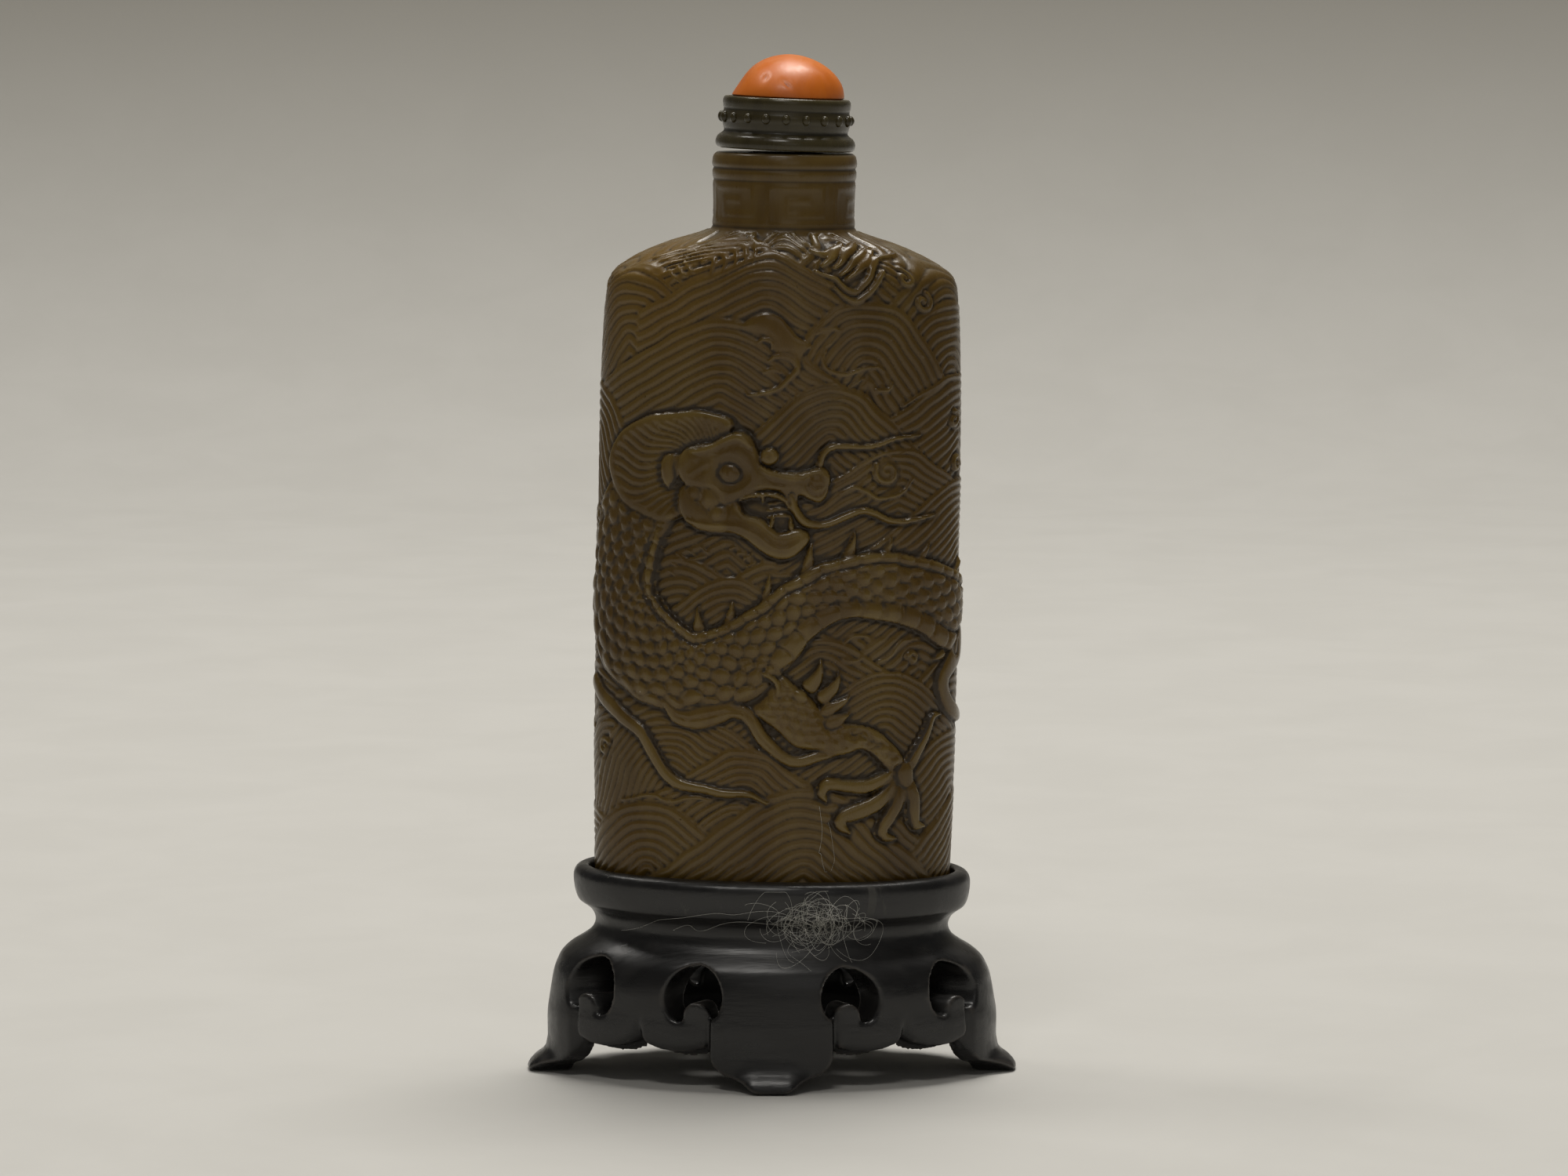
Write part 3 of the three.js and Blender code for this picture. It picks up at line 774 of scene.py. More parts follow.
KNOBS = [  # s, h, radius, height, level, drilled depth
    (-0.9, 43.0, 0.85, 0.42, 0.26, 0.12), (-4.4, 41.4, 1.5, 0.16, 0.56), (-4.4, 41.4, 1.15, -0.2, 0.6),
    (-4.4, 41.4, 0.9, 0.4, 0.42), (-4.4, 41.4, 0.45, -0.1), (3.4, 40.4, 0.85, 0.16, 0.56),
    (-6.4, 38.9, 1.0, 0.2, 0.5), (-5.5, 37.6, 0.8, 0.18, 0.5), (-7.7, 39.3, 0.7, 0.12, 0.52),
]
NOSTRIL_AND_LIPS = [
    ([(2.6, 40.4), (3.2, 39.9), (3.9, 40.1)], [0.08, 0.22, 0.1], 0.6, 0.1, 0.08),
    ([(-3.6, 38.7), (-1.9, 39.3), (-0.7, 39.4), (0.4, 38.9), (1.3, 37.7)],
     [0.1, 0.22, 0.25, 0.25, 0.1], 0.5, 0.16, 0.04),
    ([(-8.7, 36.9), (-6.0, 36.4), (-3.8, 36.4), (-2.2, 35.8), (-0.6, 34.6), (0.8, 34.5), (2.3, 35.3)],
     [0.1, 0.25, 0.3, 0.3, 0.3, 0.25, 0.1], 0.52, 0.14, 0.04),
]
TONGUE = [([(-1.0, h), (0.2, h + 0.1), (1.2, h - 0.05)], [0.1, 0.14, 0.1], 0.06, 0.2, 0.02)
          for h in (38.5, 37.9, 37.3)]
for line in BROWS:
    ribbon(*line)
for knob in KNOBS:
    boss(*knob)
for line in NOSTRIL_AND_LIPS + TONGUE:
    ribbon(*line)
for s, h, aim in ((-1.6, 39.4, -80), (0.6, 38.9, -65), (-0.6, 36.6, 80), (1.2, 36.4, 95)):
    spike(s, h, aim, 0.85, 0.22, height=0.2, level=0.3)
print("face laid")

# %% Whiskers and pearl
UPPER_WHISKER = [
    (3.8, 42.2), (4.1, 43.2), (4.9, 43.9), (6.1, 44.1), (7.8, 43.9), (9.4, 44.2), (11.0, 44.7),
    (13.6, 45.1),
]
LOWER_WHISKER = [
    (1.2, 39.3), (1.6, 38.0), (2.3, 37.0), (3.4, 36.7), (4.6, 36.8), (6.2, 37.5), (7.8, 38.1),
    (9.0, 37.8), (10.4, 37.1), (12.0, 36.8), (13.6, 37.0), (15.4, 37.4),
]
ribbon(LOWER_WHISKER, [0.4, 0.42, 0.36, 0.32, 0.28, 0.24, 0.1], level=0.1, height=0.34)
ribbon(UPPER_WHISKER, [0.3, 0.3, 0.27, 0.25, 0.22, 0.08], level=0.1, height=0.32)
boss(10.2, 41.6, 1.35, 0.18, level=0.02)
spiral(10.2, 41.6, 1.25, 1.4, width=0.22, height=0.2, start=150)
ribbon([(6.0, 39.6), (7.0, 40.2), (8.3, 39.8), (9.5, 39.1), (11.4, 39.6), (13.0, 40.9)],
       [0.12, 0.2, 0.2, 0.2, 0.1], 0.02, 0.2, 0.06)
print("whiskers and pearl laid")

# %% Foam and clouds
FOAM = [
    (-3.8, 54.9), (-3.1, 55.6), (-1.6, 56.3), (-0.1, 56.0), (0.9, 55.1), (1.6, 54.0), (2.8, 53.1),
    (1.9, 52.5), (1.5, 51.2), (0.7, 52.2), (-0.6, 52.6), (-1.0, 53.5), (-1.7, 54.3), (-2.7, 54.5),
]
raised(FOAM, 0.08, 0.16, bevel=0.8, sink=0.06)
FOAM_CUTS = [
    ([(-2.2, 53.6), (-1.6, 53.9), (-0.9, 53.7), (-0.9, 53.0)], [0.08, 0.2, 0.22, 0.1], 0.08, 0.2, 0.06),
    ([(-1.3, 51.7), (-0.6, 52.2), (0.2, 52.3), (1.1, 51.9), (1.5, 51.2), (0.8, 50.3), (-0.1, 49.4),
      (-1.4, 49.0), (-3.2, 48.6)], [0.1, 0.25, 0.3, 0.3, 0.3, 0.25, 0.25, 0.22, 0.08], 0.06, 0.2, 0.06),
    ([(-1.6, 50.6), (-0.8, 51.0), (0.0, 50.7)], [0.08, 0.2, 0.1], 0.04, 0.16, 0.04),
]
for line in FOAM_CUTS:
    ribbon(*line)
CLOUDS = [  # centre, radius, turns, start angle, direction
    (18.2, 46.3, 0.9, 1.2, 90, -1), (18.8, 42.0, 0.9, 1.2, 0, 1), (-18.8, 36.9, 0.9, 1.2, 0, -1),
    (-17.6, 14.6, 0.9, 1.1, 40, 1), (13.3, 23.9, 0.6, 1.0, 160, -1), (12.6, 59.6, 0.9, 1.1, 60, -1),
    (14.2, 57.4, 1.0, 1.2, 60, -1), (-8.8, 61.2, 0.7, 1.1, 0, 1),
]
for s, h, radius, turns, start, way in CLOUDS:
    spiral(s, h, radius, turns, start=start, way=way)
LINES = [
    [(3.3, 54.4), (3.9, 54.9), (5.0, 55.0), (5.6, 54.7)], [(4.1, 53.2), (4.8, 53.7)],
    [(4.3, 52.9), (4.0, 52.0), (4.4, 51.1), (5.6, 50.8), (6.6, 50.9), (7.8, 51.2), (9.2, 51.3),
     (9.7, 50.9)],
    [(8.9, 49.1), (10.2, 49.2), (10.7, 50.0)], [(6.6, 49.7), (7.9, 50.3)],
    [(11.6, 47.6), (14.2, 48.9), (16.4, 49.9), (18.5, 50.3)],
    [(-15.2, 9.9), (-11.8, 10.6), (-10.0, 10.1), (-8.0, 10.5), (-6.0, 10.4)],
    [(6.4, 25.6), (7.3, 26.1), (8.7, 26.0)], [(6.2, 24.2), (7.0, 23.9), (8.1, 24.1)],
    [(9.7, 23.7), (10.8, 24.2), (11.6, 25.1), (12.2, 25.6), (13.0, 25.7)], [(-7.2, 34.4), (-6.4, 33.6)],
    [(-8.5, 34.0), (-7.9, 33.5)], [(-9.5, 33.5), (-8.8, 33.1)], [(-8.3, 33.2), (-6.8, 33.4)],
    [(-10.0, 32.6), (-9.5, 32.4)], [(-10.5, 32.0), (-9.8, 31.6)], [(-4.6, 34.2), (-3.9, 34.6)],
    [(-3.9, 33.9), (-3.1, 34.1)], [(-3.3, 33.4), (-2.4, 33.9)], [(-2.9, 32.7), (-2.0, 33.1)],
    [(-12.0, 60.0), (-10.0, 58.9)], [(-11.6, 60.5), (-9.6, 59.4)], [(-11.3, 60.9), (-9.3, 59.9)],
]
for line in LINES:
    ribbon(line, [0.1, 0.2, 0.2, 0.08], level=0.02, height=0.18, sink=0.05)
print(len(CLOUDS), "clouds and", len(LINES), "lines of spray laid")

# %% Spray and flames on the shoulders
SPRAY = [
    [(3.9, 62.1), (5.4, 61.9), (7.5, 62.4)], [(4.4, 60.7), (6.6, 61.9), (10.1, 62.8)],
    [(5.7, 60.7), (8.4, 61.9), (12.5, 62.8)], [(6.0, 60.0), (9.2, 61.4), (13.0, 62.4)],
    [(6.5, 59.6), (9.4, 60.9), (12.7, 62.1)],
    [(3.4, 60.2), (4.5, 59.8), (5.3, 59.6), (5.8, 58.9), (6.6, 58.4), (7.4, 58.3), (8.0, 58.8),
     (8.8, 59.6), (10.0, 60.7), (11.8, 61.4), (15.0, 61.7)],
    [(5.0, 58.6), (5.9, 57.9), (7.3, 57.5), (8.6, 58.2), (9.8, 59.6), (10.8, 60.4)],
]
for line in SPRAY:
    ribbon(line, [0.15, 0.32, 0.32, 0.12], level=0.04, height=0.24, sink=0.1)
    ribbon([(s + GIRTH / 2, h) for s, h in line], [0.15, 0.32, 0.32, 0.12], level=0.04, height=0.2,
           sink=0.1)
for k in range(5):
    down = 0.42 * k
    arc = [(-14.0 + 0.4 * k, 61.9 - down), (-10.0, 62.7 - down), (-6.2 - 0.5 * k, 62.9 - down),
           (-3.9 - 0.9 * k, 62.2 - down), (-3.4 - 0.95 * k, 60.9 - 0.8 * down)]
    ribbon(arc, [0.06, 0.18, 0.22, 0.2, 0.06], level=0.02, height=0.14, sink=0.04)
print("shoulders finished, heights from %.2f to %.2f mm" % (relief.min(), relief.max()))

# %% The neck: turned grooves and a key fret
FRET_UNITS = 6
FRET_LOW, FRET_HIGH = 64.45, 67.75
FRET_LINE = 0.24
FRET_DEPTH = 0.045
FRET_WIDE = 2 * math.pi * NECK_R / FRET_UNITS
NECK_GROOVES = [(69.45, 0.16), (68.35, 0.12), (64.0, 0.1)]  # height, depth
GROOVE_HALF = 0.16
FRET_PATH = [
    (0.0, 0.0), (0.0, 1.0), (0.78, 1.0), (0.78, 0.26), (0.27, 0.26), (0.27, 0.64), (0.55, 0.64),
]


def neck_bars():
    """Straight bars of one unit of the fret, in millimetres from its lower left corner."""
    corners = [(x * FRET_WIDE, y * (FRET_HIGH - FRET_LOW)) for x, y in FRET_PATH]
    return [*zip(corners, corners[1:]), ((0.0, 0.0), (FRET_WIDE, 0.0))]


def cut_neck():
    """Clears the neck and cuts a shallow key fret between turned grooves."""
    rows = np.arange(sheet_rows) * CELL
    band = np.flatnonzero(rows > NECK_AT + 0.1)
    angle = np.interp(np.arange(sheet_cols) * STEP_S, round_s, turn)
    q, h = np.meshgrid((angle * NECK_R + 0.22 * FRET_WIDE) % FRET_WIDE, rows[band])
    away = np.full(q.shape, 9.0)
    for (x0, y0), (x1, y1) in neck_bars():
        for shift in (-FRET_WIDE, 0, FRET_WIDE):
            out_x = np.maximum(min(x0, x1) + shift - q, q - max(x0, x1) - shift)
            out_y = np.maximum(min(y0, y1) + FRET_LOW - h, h - FRET_LOW - max(y0, y1))
            away = np.minimum(away, np.maximum(out_x, out_y))
    in_band = ease(FRET_LOW - 0.45, FRET_LOW - 0.3, h) * ease(FRET_HIGH + 0.45, FRET_HIGH + 0.3, h)
    rise = in_band * FRET_DEPTH * (ease(FRET_LINE + 0.16, FRET_LINE - 0.1, away) - 1)
    for at, depth in NECK_GROOVES:
        rise -= depth * np.exp(-(((h - at) / GROOVE_HALF) ** 2))
    relief[band] = rise


cut_neck()
print("neck cut")

# %% Read the sheet and the outline
FRONT_STEP, BACK_STEP = 0.15, 0.21
ROW_STEP = 0.16


def sheet_lookup(field, s, h):
    """Values of the sheet at any places, blended between cells."""
    column = (s / STEP_S) % sheet_cols
    row = np.clip(h / CELL, 0, sheet_rows - 1.001)
    c0, r0 = np.floor(column).astype(int), np.floor(row).astype(int)
    fc, fr = column - c0, row - r0
    c0, c1 = c0 % sheet_cols, (c0 + 1) % sheet_cols
    top = field[r0 + 1, c0] * (1 - fc) + field[r0 + 1, c1] * fc
    return (field[r0, c0] * (1 - fc) + field[r0, c1] * fc) * (1 - fr) + top * fr


def rounded_outline():
    """The outline through its points, as close steps of about equal length."""
    line = smooth_line(OUTLINE[:, [1, 0]], 0.04)
    h = line[:, 1]
    fine_h = np.maximum.accumulate(h)
    half_x = line[:, 0]
    half_y = np.interp(fine_h, OUTLINE[:, 0], OUTLINE[:, 2])
    soft = np.ones(25) / 25
    half_y = np.convolve(np.pad(half_y, 12, mode="edge"), soft, mode="valid")
    travelled = np.concatenate([[0], np.cumsum(np.hypot(np.diff(half_x), np.diff(fine_h)))])
    places = np.linspace(0, travelled[-1], int(travelled[-1] / ROW_STEP))
    return [np.interp(places, travelled, value) for value in (fine_h, half_x, half_y)]


def columns_round():
    """Places round the girth: close together on the front, wider apart on the back."""
    places = [0.0]
    while places[-1] < GIRTH:
        from_front = min(places[-1], GIRTH - places[-1]) / GIRTH
        step = FRONT_STEP + (BACK_STEP - FRONT_STEP) * float(ease(0.26, 0.34, from_front))
        places.append(places[-1] + step)
    places = np.array(places)
    return places[:-1] * GIRTH / places[-1]


print("outside of", len(rounded_outline()[0]), "rings with", len(columns_round()), "points each")

# %% Rings of points
def rings(h, half_x, half_y, s):
    """Points of oval rings, one row for each height."""
    angle = np.interp(s, round_s, turn)
    power = body_power(half_x)[:, None]
    x, y = oval(angle[None, :], half_x[:, None], half_y[:, None], power)
    return np.stack([x, y, np.broadcast_to(h[:, None], x.shape)], -1)


def ring_normals(points):
    """Outward directions of a grid of rings."""
    along = np.roll(points, -1, 1) - np.roll(points, 1, 1)
    up = np.gradient(points, axis=0)
    normal = np.cross(along, up)
    return normal / np.linalg.norm(normal, axis=-1, keepdims=True)


def closed_rings(points, middles=None):
    """Faces between rings of points, one ring a row, with a middle point at each end."""
    rows, count = points.shape[:2]
    if middles is None:
        middles = points[[0, -1]].mean(1)
    here, there = np.arange(count), (np.arange(count) + 1) % count
    first = np.arange(rows - 1)[:, None] * count
    corners = [first + here, first + there, first + count + there, first + count + here]
    quads = np.stack(corners, -1).reshape(-1, 4)
    start = np.stack([np.full(count, rows * count), there, here], -1)
    last = (rows - 1) * count
    end = np.stack([np.full(count, rows * count + 1), last + here, last + there], -1)
    return np.vstack([points.reshape(-1, 3), middles]), quads, start, end


def tipped(points, angle, lift):
    """Points tipped to the right by an angle and then lifted."""
    x, y, z = points[..., 0], points[..., 1], points[..., 2]
    turned_x = x * math.cos(angle) + z * math.sin(angle)
    turned_z = z * math.cos(angle) - x * math.sin(angle) + lift
    return np.stack([turned_x, y, turned_z], -1)


def lean(points):
    """From the bottle's own upright frame to its place on the stand, in metres."""
    return tipped(points, LEAN, BOTTLE_FOOT) * MM


print("rings, closed ends and lean ready")

# %% Wrap the sheet round the bottle
RELIEF_LOW = -0.06
HOLLOW = np.array([  # height, half-width, half-depth of the inside, from the mouth down
    (70.9, 3.8, 3.8), (70.4, 3.5, 3.5), (66.0, 3.5, 3.5), (61.5, 3.5, 3.5), (60.4, 4.1, 3.8),
    (59.5, 5.5, 4.5), (58.6, 7.6, 4.9), (57.6, 10.6, 5.5), (56.6, 12.2, 5.8), (55.0, 13.6, 6.05),
    (50.0, 14.4, 6.2), (40.0, 14.55, 6.2), (24.0, 14.55, 6.2), (8.0, 14.5, 6.15), (5.4, 14.2, 5.95),
    (4.2, 13.5, 5.5), (3.4, 12.2, 4.7), (3.0, 10.5, 3.7),
])


def bottle_mesh():
    """The carved outside and the plain inside, joined over the mouth into one closed wall."""
    s = columns_round()
    h, half_x, half_y = rounded_outline()
    outside = rings(h, half_x, half_y, s)
    depth = sheet_lookup(relief, s[None, :], h[:, None]) + RELIEF_LOW
    depth = depth * ease(0.0, 1.2, h)[:, None] * ease(BOTTLE_HEIGHT, BOTTLE_HEIGHT - 0.5, h)[:, None]
    outside = outside + ring_normals(outside) * depth[..., None]
    hollow = smooth_line(HOLLOW, 0.9)
    inside = rings(hollow[:, 0], hollow[:, 1], hollow[:, 2], s)
    foot_and_well = [[0, 0, 0], [0, 0, HOLLOW[-1, 0]]]
    points, *faces = closed_rings(np.concatenate([outside, inside]), foot_and_well)
    return lean(points), *faces


def thinned(piece, most):
    """Joins the least needed faces until the piece has at most so many triangles."""
    triangles = sum(len(face.vertices) - 2 for face in piece.data.polygons)
    fewer = piece.modifiers.new("fewer", "DECIMATE")
    fewer.ratio = min(1.0, most / triangles)
    result = bpy.data.meshes.new_from_object(piece.evaluated_get(bpy.context.evaluated_depsgraph_get()))
    piece.modifiers.remove(fewer)
    piece.data = result
    for face in result.polygons:
        face.use_smooth = True
    return triangles


BOTTLE_TRIANGLES = 190000
bottle = mesh_object("carved_bottle", *bottle_mesh())
before = thinned(bottle, BOTTLE_TRIANGLES)
print("bottle: %d triangles thinned to %d faces" % (before, len(bottle.data.polygons)))

# %% [markdown]
# ## The stand
# The stand is one block of dark hardwood: a rim that holds the bottle, a hollow waist,
# and a skirt that ends in four legs with turned-out toes. Pairs of C-shaped openings
# pierce the skirt. Modelling it from loops would mean many cuts and bevels that must
# meet cleanly. Instead each feature is written as a distance: less than zero inside the
# wood. Taking the larger or smaller of two distances cuts or joins, with a soft edge. A
# net is then drawn where the distance is zero.

# %% The block of cells that the stand is cut from
STAND_CELL = 0.19
STAND_HALF_X, STAND_HALF_Y = 23.45, 13.0
SKIRT_X, SKIRT_Y = 21.5, 11.8
STAND_TOP = 19.7

grid_x = np.arange(-STAND_HALF_X - 0.5, STAND_HALF_X + 0.6, STAND_CELL)
grid_y = np.arange(-STAND_HALF_Y - 0.5, STAND_HALF_Y + 0.6, STAND_CELL)
grid_z = np.arange(-0.5, STAND_TOP + 0.6, STAND_CELL)
X, Y, Z = np.meshgrid(grid_x, grid_y, grid_z, indexing="ij")


def soft_max(a, b, round_by):
    """The larger of two distances, with the edge between them rounded."""
    blend = np.clip(round_by - np.abs(a - b), 0, None) / round_by
    return np.maximum(a, b) + blend * blend * round_by / 4


def oval_distance(half_x, half_y, power=2.0):
    """Roughly how far each cell is outside an oval of the given half-widths."""
    px, py = np.abs(X) / half_x, np.abs(Y) / half_y
    level = (px**power + py**power) ** (1 / power)
    steep = np.hypot(px ** (power - 1) / half_x, py ** (power - 1) / half_y)
    return (level - 1) * level ** (power - 1) / np.maximum(steep, 1e-6)


def along_height(pairs):
    """Values that follow a rounded line through (height, value) pairs, one for each cell height."""
    line = smooth_line(np.array(pairs, float), 0.15)
    return np.interp(grid_z, line[:, 0], line[:, 1])[None, None, :]


turn_table = np.linspace(0, math.pi / 2, 400)
steps = np.hypot(SKIRT_X * np.cos(turn_table), SKIRT_Y * np.sin(turn_table)) * (math.pi / 2 / 399)
quarter_table = np.concatenate([[0], np.cumsum((steps[1:] + steps[:-1]) / 2)])
QUARTER = quarter_table[-1]
skirt_turn = np.arctan2(np.abs(X[:, :, 0]) / SKIRT_X, np.abs(Y[:, :, 0]) / SKIRT_Y)
from_front = np.interp(skirt_turn, turn_table, quarter_table)
beside_leg = np.minimum(from_front, QUARTER - from_front)[:, :, None]
print("stand block of %d cells, quarter of the skirt %.2f mm" % (X.size, QUARTER))

# %% The turned outline
STAND_OUTLINE = [  # height, half-width, half-depth
    (-0.6, SKIRT_X, SKIRT_Y), (3.3, 21.5, 11.8), (5.6, 21.5, 11.8), (7.1, 21.3, 11.7), (9.4, 20.9, 11.45),
    (10.5, 20.5, 11.2), (11.3, 20.05, 10.9), (12.07, 19.2, 10.35), (12.8, 18.0, 9.75),
    (13.5, 17.15, 9.35), (14.4, 16.85, 9.2), (15.3, 17.2, 9.5), (15.9, 17.9, 10.2),
    (16.3, 18.45, 10.7), (17.2, 18.8, 11.0), (18.5, 18.95, 11.1), (19.3, 18.8, 11.0),
    (20.4, 18.4, 10.7),
]
LEG_HALF = 6.2
LEG_EDGE = [  # distance from the middle of a leg, height of the lower edge
    (0.0, 0.0), (1.2, 0.0), (1.8, 0.3), (2.5, 0.85), (3.4, 1.2), (4.5, 1.5), (5.4, 2.1), (6.0, 2.9),
    (LEG_HALF, 3.6),
]
LOBE_EDGE = [  # the same, from the side of the leg to the middle between two legs
    (LEG_HALF, 3.6), (6.6, 3.3), (8.0, 2.9), (9.6, 2.8), (11.2, 3.0), (12.4, 3.4), (QUARTER / 2, 4.1),
]
TOE_RISE = [
    (-1.0, 0.85), (0.0, 0.92), (0.4, 1.0), (0.8, 0.9), (1.3, 0.66), (1.8, 0.3), (2.3, 0.1), (3.3, 0.0),
]
TOE_REACH_X, TOE_REACH_Y = 1.95, 1.2


apron_edge = np.interp(beside_leg, *zip(*(LEG_EDGE + LOBE_EDGE[1:])))


def skirt_relief():
    """How far the skin of the skirt stands out or back, for each cell."""
    above = Z - apron_edge
    is_lobe = ease(LEG_HALF - 0.2, LEG_HALF + 0.3, beside_leg)
    lower = ease(9.2, 6.4, Z)
    rise = -0.22 * is_lobe * lower
    rise -= 0.75 * is_lobe * ease(1.7, 0.0, above) ** 1.5
    rise -= 0.42 * np.exp(-(((beside_leg - LEG_HALF) / 0.3) ** 2)) * ease(8.4, 7.0, Z)
    rise -= 0.5 * np.exp(-(((beside_leg - QUARTER / 2) / 0.5) ** 2)) * ease(7.4, 4.6, Z)
    rise -= 0.12 * (1 - is_lobe) * ease(4.0, LEG_HALF, beside_leg) * lower
    return rise


def toe_push():
    """The turned-out toes: how far each cell's skin moves outward near the ground."""
    rise = np.interp(grid_z, *zip(*TOE_RISE))[None, None, :]
    spread = ease(4.4, 1.5, beside_leg)
    slant = np.abs(np.sin(skirt_turn))[:, :, None]
    return rise * spread * (TOE_REACH_Y + (TOE_REACH_X - TOE_REACH_Y) * slant)


outline_x, outline_y = (along_height([(row[0], row[k]) for row in STAND_OUTLINE]) for k in (1, 2))
outside = oval_distance(outline_x, outline_y)
skin = outside - toe_push() - skirt_relief() * ease(11.0, 9.0, Z)
wood = soft_max(skin, Z - STAND_TOP, 0.8)
print("outline done")

# %% Recess and hollow
RECESS_FLOOR = 16.4
RECESS_GAP = 0.3
HOLLOW_TOP = 13.4
recess = oval_distance(BOTTLE_HALF_X + RECESS_GAP, BOTTLE_HALF_Y + RECESS_GAP, BOTTLE_FULLNESS)
wood = soft_max(wood, -soft_max(recess, RECESS_FLOOR - Z, 0.5), 0.35)
hollow_x = along_height([(-0.6, 19.3), (5.0, 19.2), (5.8, 17.6), (6.8, 15.6), (8.5, 15.4),
                         (11.4, 14.7), (13.4, 12.6), (20.4, 12.0)])
hollow_y = along_height([(-0.6, 9.6), (7.0, 9.5), (9.0, 9.2), (11.4, 8.2), (13.4, 6.4), (20.4, 6.0)])
hollow = soft_max(oval_distance(hollow_x, hollow_y), Z - HOLLOW_TOP, 1.5)
wood = soft_max(wood, -hollow, 0.4)
print("recess floor at %.1f mm, hollow up to %.1f mm" % (RECESS_FLOOR, HOLLOW_TOP))

# %% Lower edge of the apron
LOBE_STEP = 0.85
LOBE_SKIN = 1.15
wood = soft_max(wood, (apron_edge - Z) * 0.8, 0.3)
lobe_edge = apron_edge + LOBE_STEP * ease(LEG_HALF, LEG_HALF + 0.6, beside_leg)
wood = soft_max(wood, np.minimum((lobe_edge - Z) * 0.8, skin + LOBE_SKIN), 0.2)
wood = soft_max(wood, -Z, 0.25)
print("apron cut to its edge")

# %% C-shaped openings
HOLE_FROM_LEG, HOLE_UP, HOLE_R = 7.8, 8.8, 2.9
BOSS_R, BOSS_UP, BOSS_TO_LEG = 1.3, 7.1, 0.35
LIMB_TOP = 6.9
CORE = 6.0  # half-width of the middle, which no opening reaches
disc = np.hypot(beside_leg - HOLE_FROM_LEG, Z - HOLE_UP) - HOLE_R
from_boss = beside_leg - HOLE_FROM_LEG + BOSS_TO_LEG
tongue = np.hypot(from_boss, np.clip(Z - BOSS_UP, 0, None)) - BOSS_R
limb_end = LIMB_TOP - 0.4 * ease(6.8, 8.8, beside_leg) - Z
opening = soft_max(soft_max(disc, -tongue, 0.3), limb_end, 0.5)
opening = np.maximum(opening, CORE - np.hypot(X, Y * SKIRT_X / SKIRT_Y))
wood = soft_max(wood, -opening, 0.3)
print("wood fills %.1f%% of the block" % (100 * np.mean(wood < 0)))


# %% Draw the net where the distance is zero
def surface_net(field, origin, cell):
    """One point in every cell that the zero level crosses, joined into four-sided faces."""
    inside = field < 0
    shape = np.array(field.shape) - 1
    total = np.zeros((*shape, 3))
    count = np.zeros(shape)

    def window(values, start):
        """The values at one corner of every cell."""
        return values[tuple(slice(v, v + size) for v, size in zip(start, shape))]

    for start in np.ndindex(2, 2, 2):
        for axis in range(3):
            if start[axis] == 0:
                end = tuple(v + (axis == n) for n, v in enumerate(start))
                crossing = window(inside, start) != window(inside, end)
                a, b = window(field, start)[crossing], window(field, end)[crossing]
                place = np.broadcast_to(np.array(start, float), (len(a), 3)).copy()
                place[:, axis] += a / (a - b)
                total[crossing] += place
                count[crossing] += 1
    used = count > 0
    number = np.full(shape, -1)
    number[used] = np.arange(used.sum())
    points = (np.argwhere(used) + total[used] / count[used][:, None]) * cell + origin
    faces = []
    step = np.eye(3, dtype=int)
    for axis in range(3):
        u, v = (axis + 1) % 3, (axis + 2) % 3
        change = -np.diff(inside.astype(int), axis=axis)
        cells = np.argwhere(change != 0)
        within = (cells[:, [u, v]] > 0) & (cells[:, [u, v]] < shape[[u, v]])
        cells = cells[within.all(1)]
        square = np.stack([number[tuple((cells - du * step[u] - dv * step[v]).T)]
                           for du, dv in ((0, 0), (1, 0), (1, 1), (0, 1))], -1)
        outward = change[tuple(cells.T)][:, None] > 0
        faces.append(np.where(outward, square, square[:, ::-1]))
    return points, np.vstack(faces)


STAND_TRIANGLES = 170000
points, faces = surface_net(wood, np.array([grid_x[0], grid_y[0], grid_z[0]]), STAND_CELL)
slope = math.tan(LEAN)
points[:, 2] -= points[:, 0] * slope * ease(4.0, 14.6, points[:, 2])
points = np.clip(points, [-STAND_HALF_X, -STAND_HALF_Y, 0], [STAND_HALF_X, STAND_HALF_Y, 30])
stand = mesh_object("carved_stand", points * MM, faces)
before = thinned(stand, STAND_TRIANGLES)
del X, Y, Z, wood, outside, skin, recess, hollow, disc, tongue, opening, lobe_edge
print("stand: %d triangles thinned to %d faces" % (before, len(stand.data.polygons)))

# %% [markdown]
# ## The stopper
# The stopper is three pieces: a cork, a collar turned from the same horn with a ring of
# small beads, and a coral cabochon. The collar is a lathe shape, so rings of points give
# it a perfectly round section. The beads are set out round it by a small recipe of
# nodes, because twenty alike things belong to one rule. The coral is a natural pebble:
# its top is off the middle and it has a pit and a crease.

# %% Placing the stopper
STOPPER_TILT = math.radians(1.4)
FIT_GAP = 0.3
COLLAR_HEIGHT = 4.85
SEAT_DEPTH = 0.5


def on_bottle(points):
    """From the stopper's own upright frame to its tilted place on the mouth, in metres."""
    return lean(tipped(points, STOPPER_TILT, BOTTLE_HEIGHT + FIT_GAP))


print("stopper stands %.1f mm up the bottle" % (BOTTLE_HEIGHT + FIT_GAP))

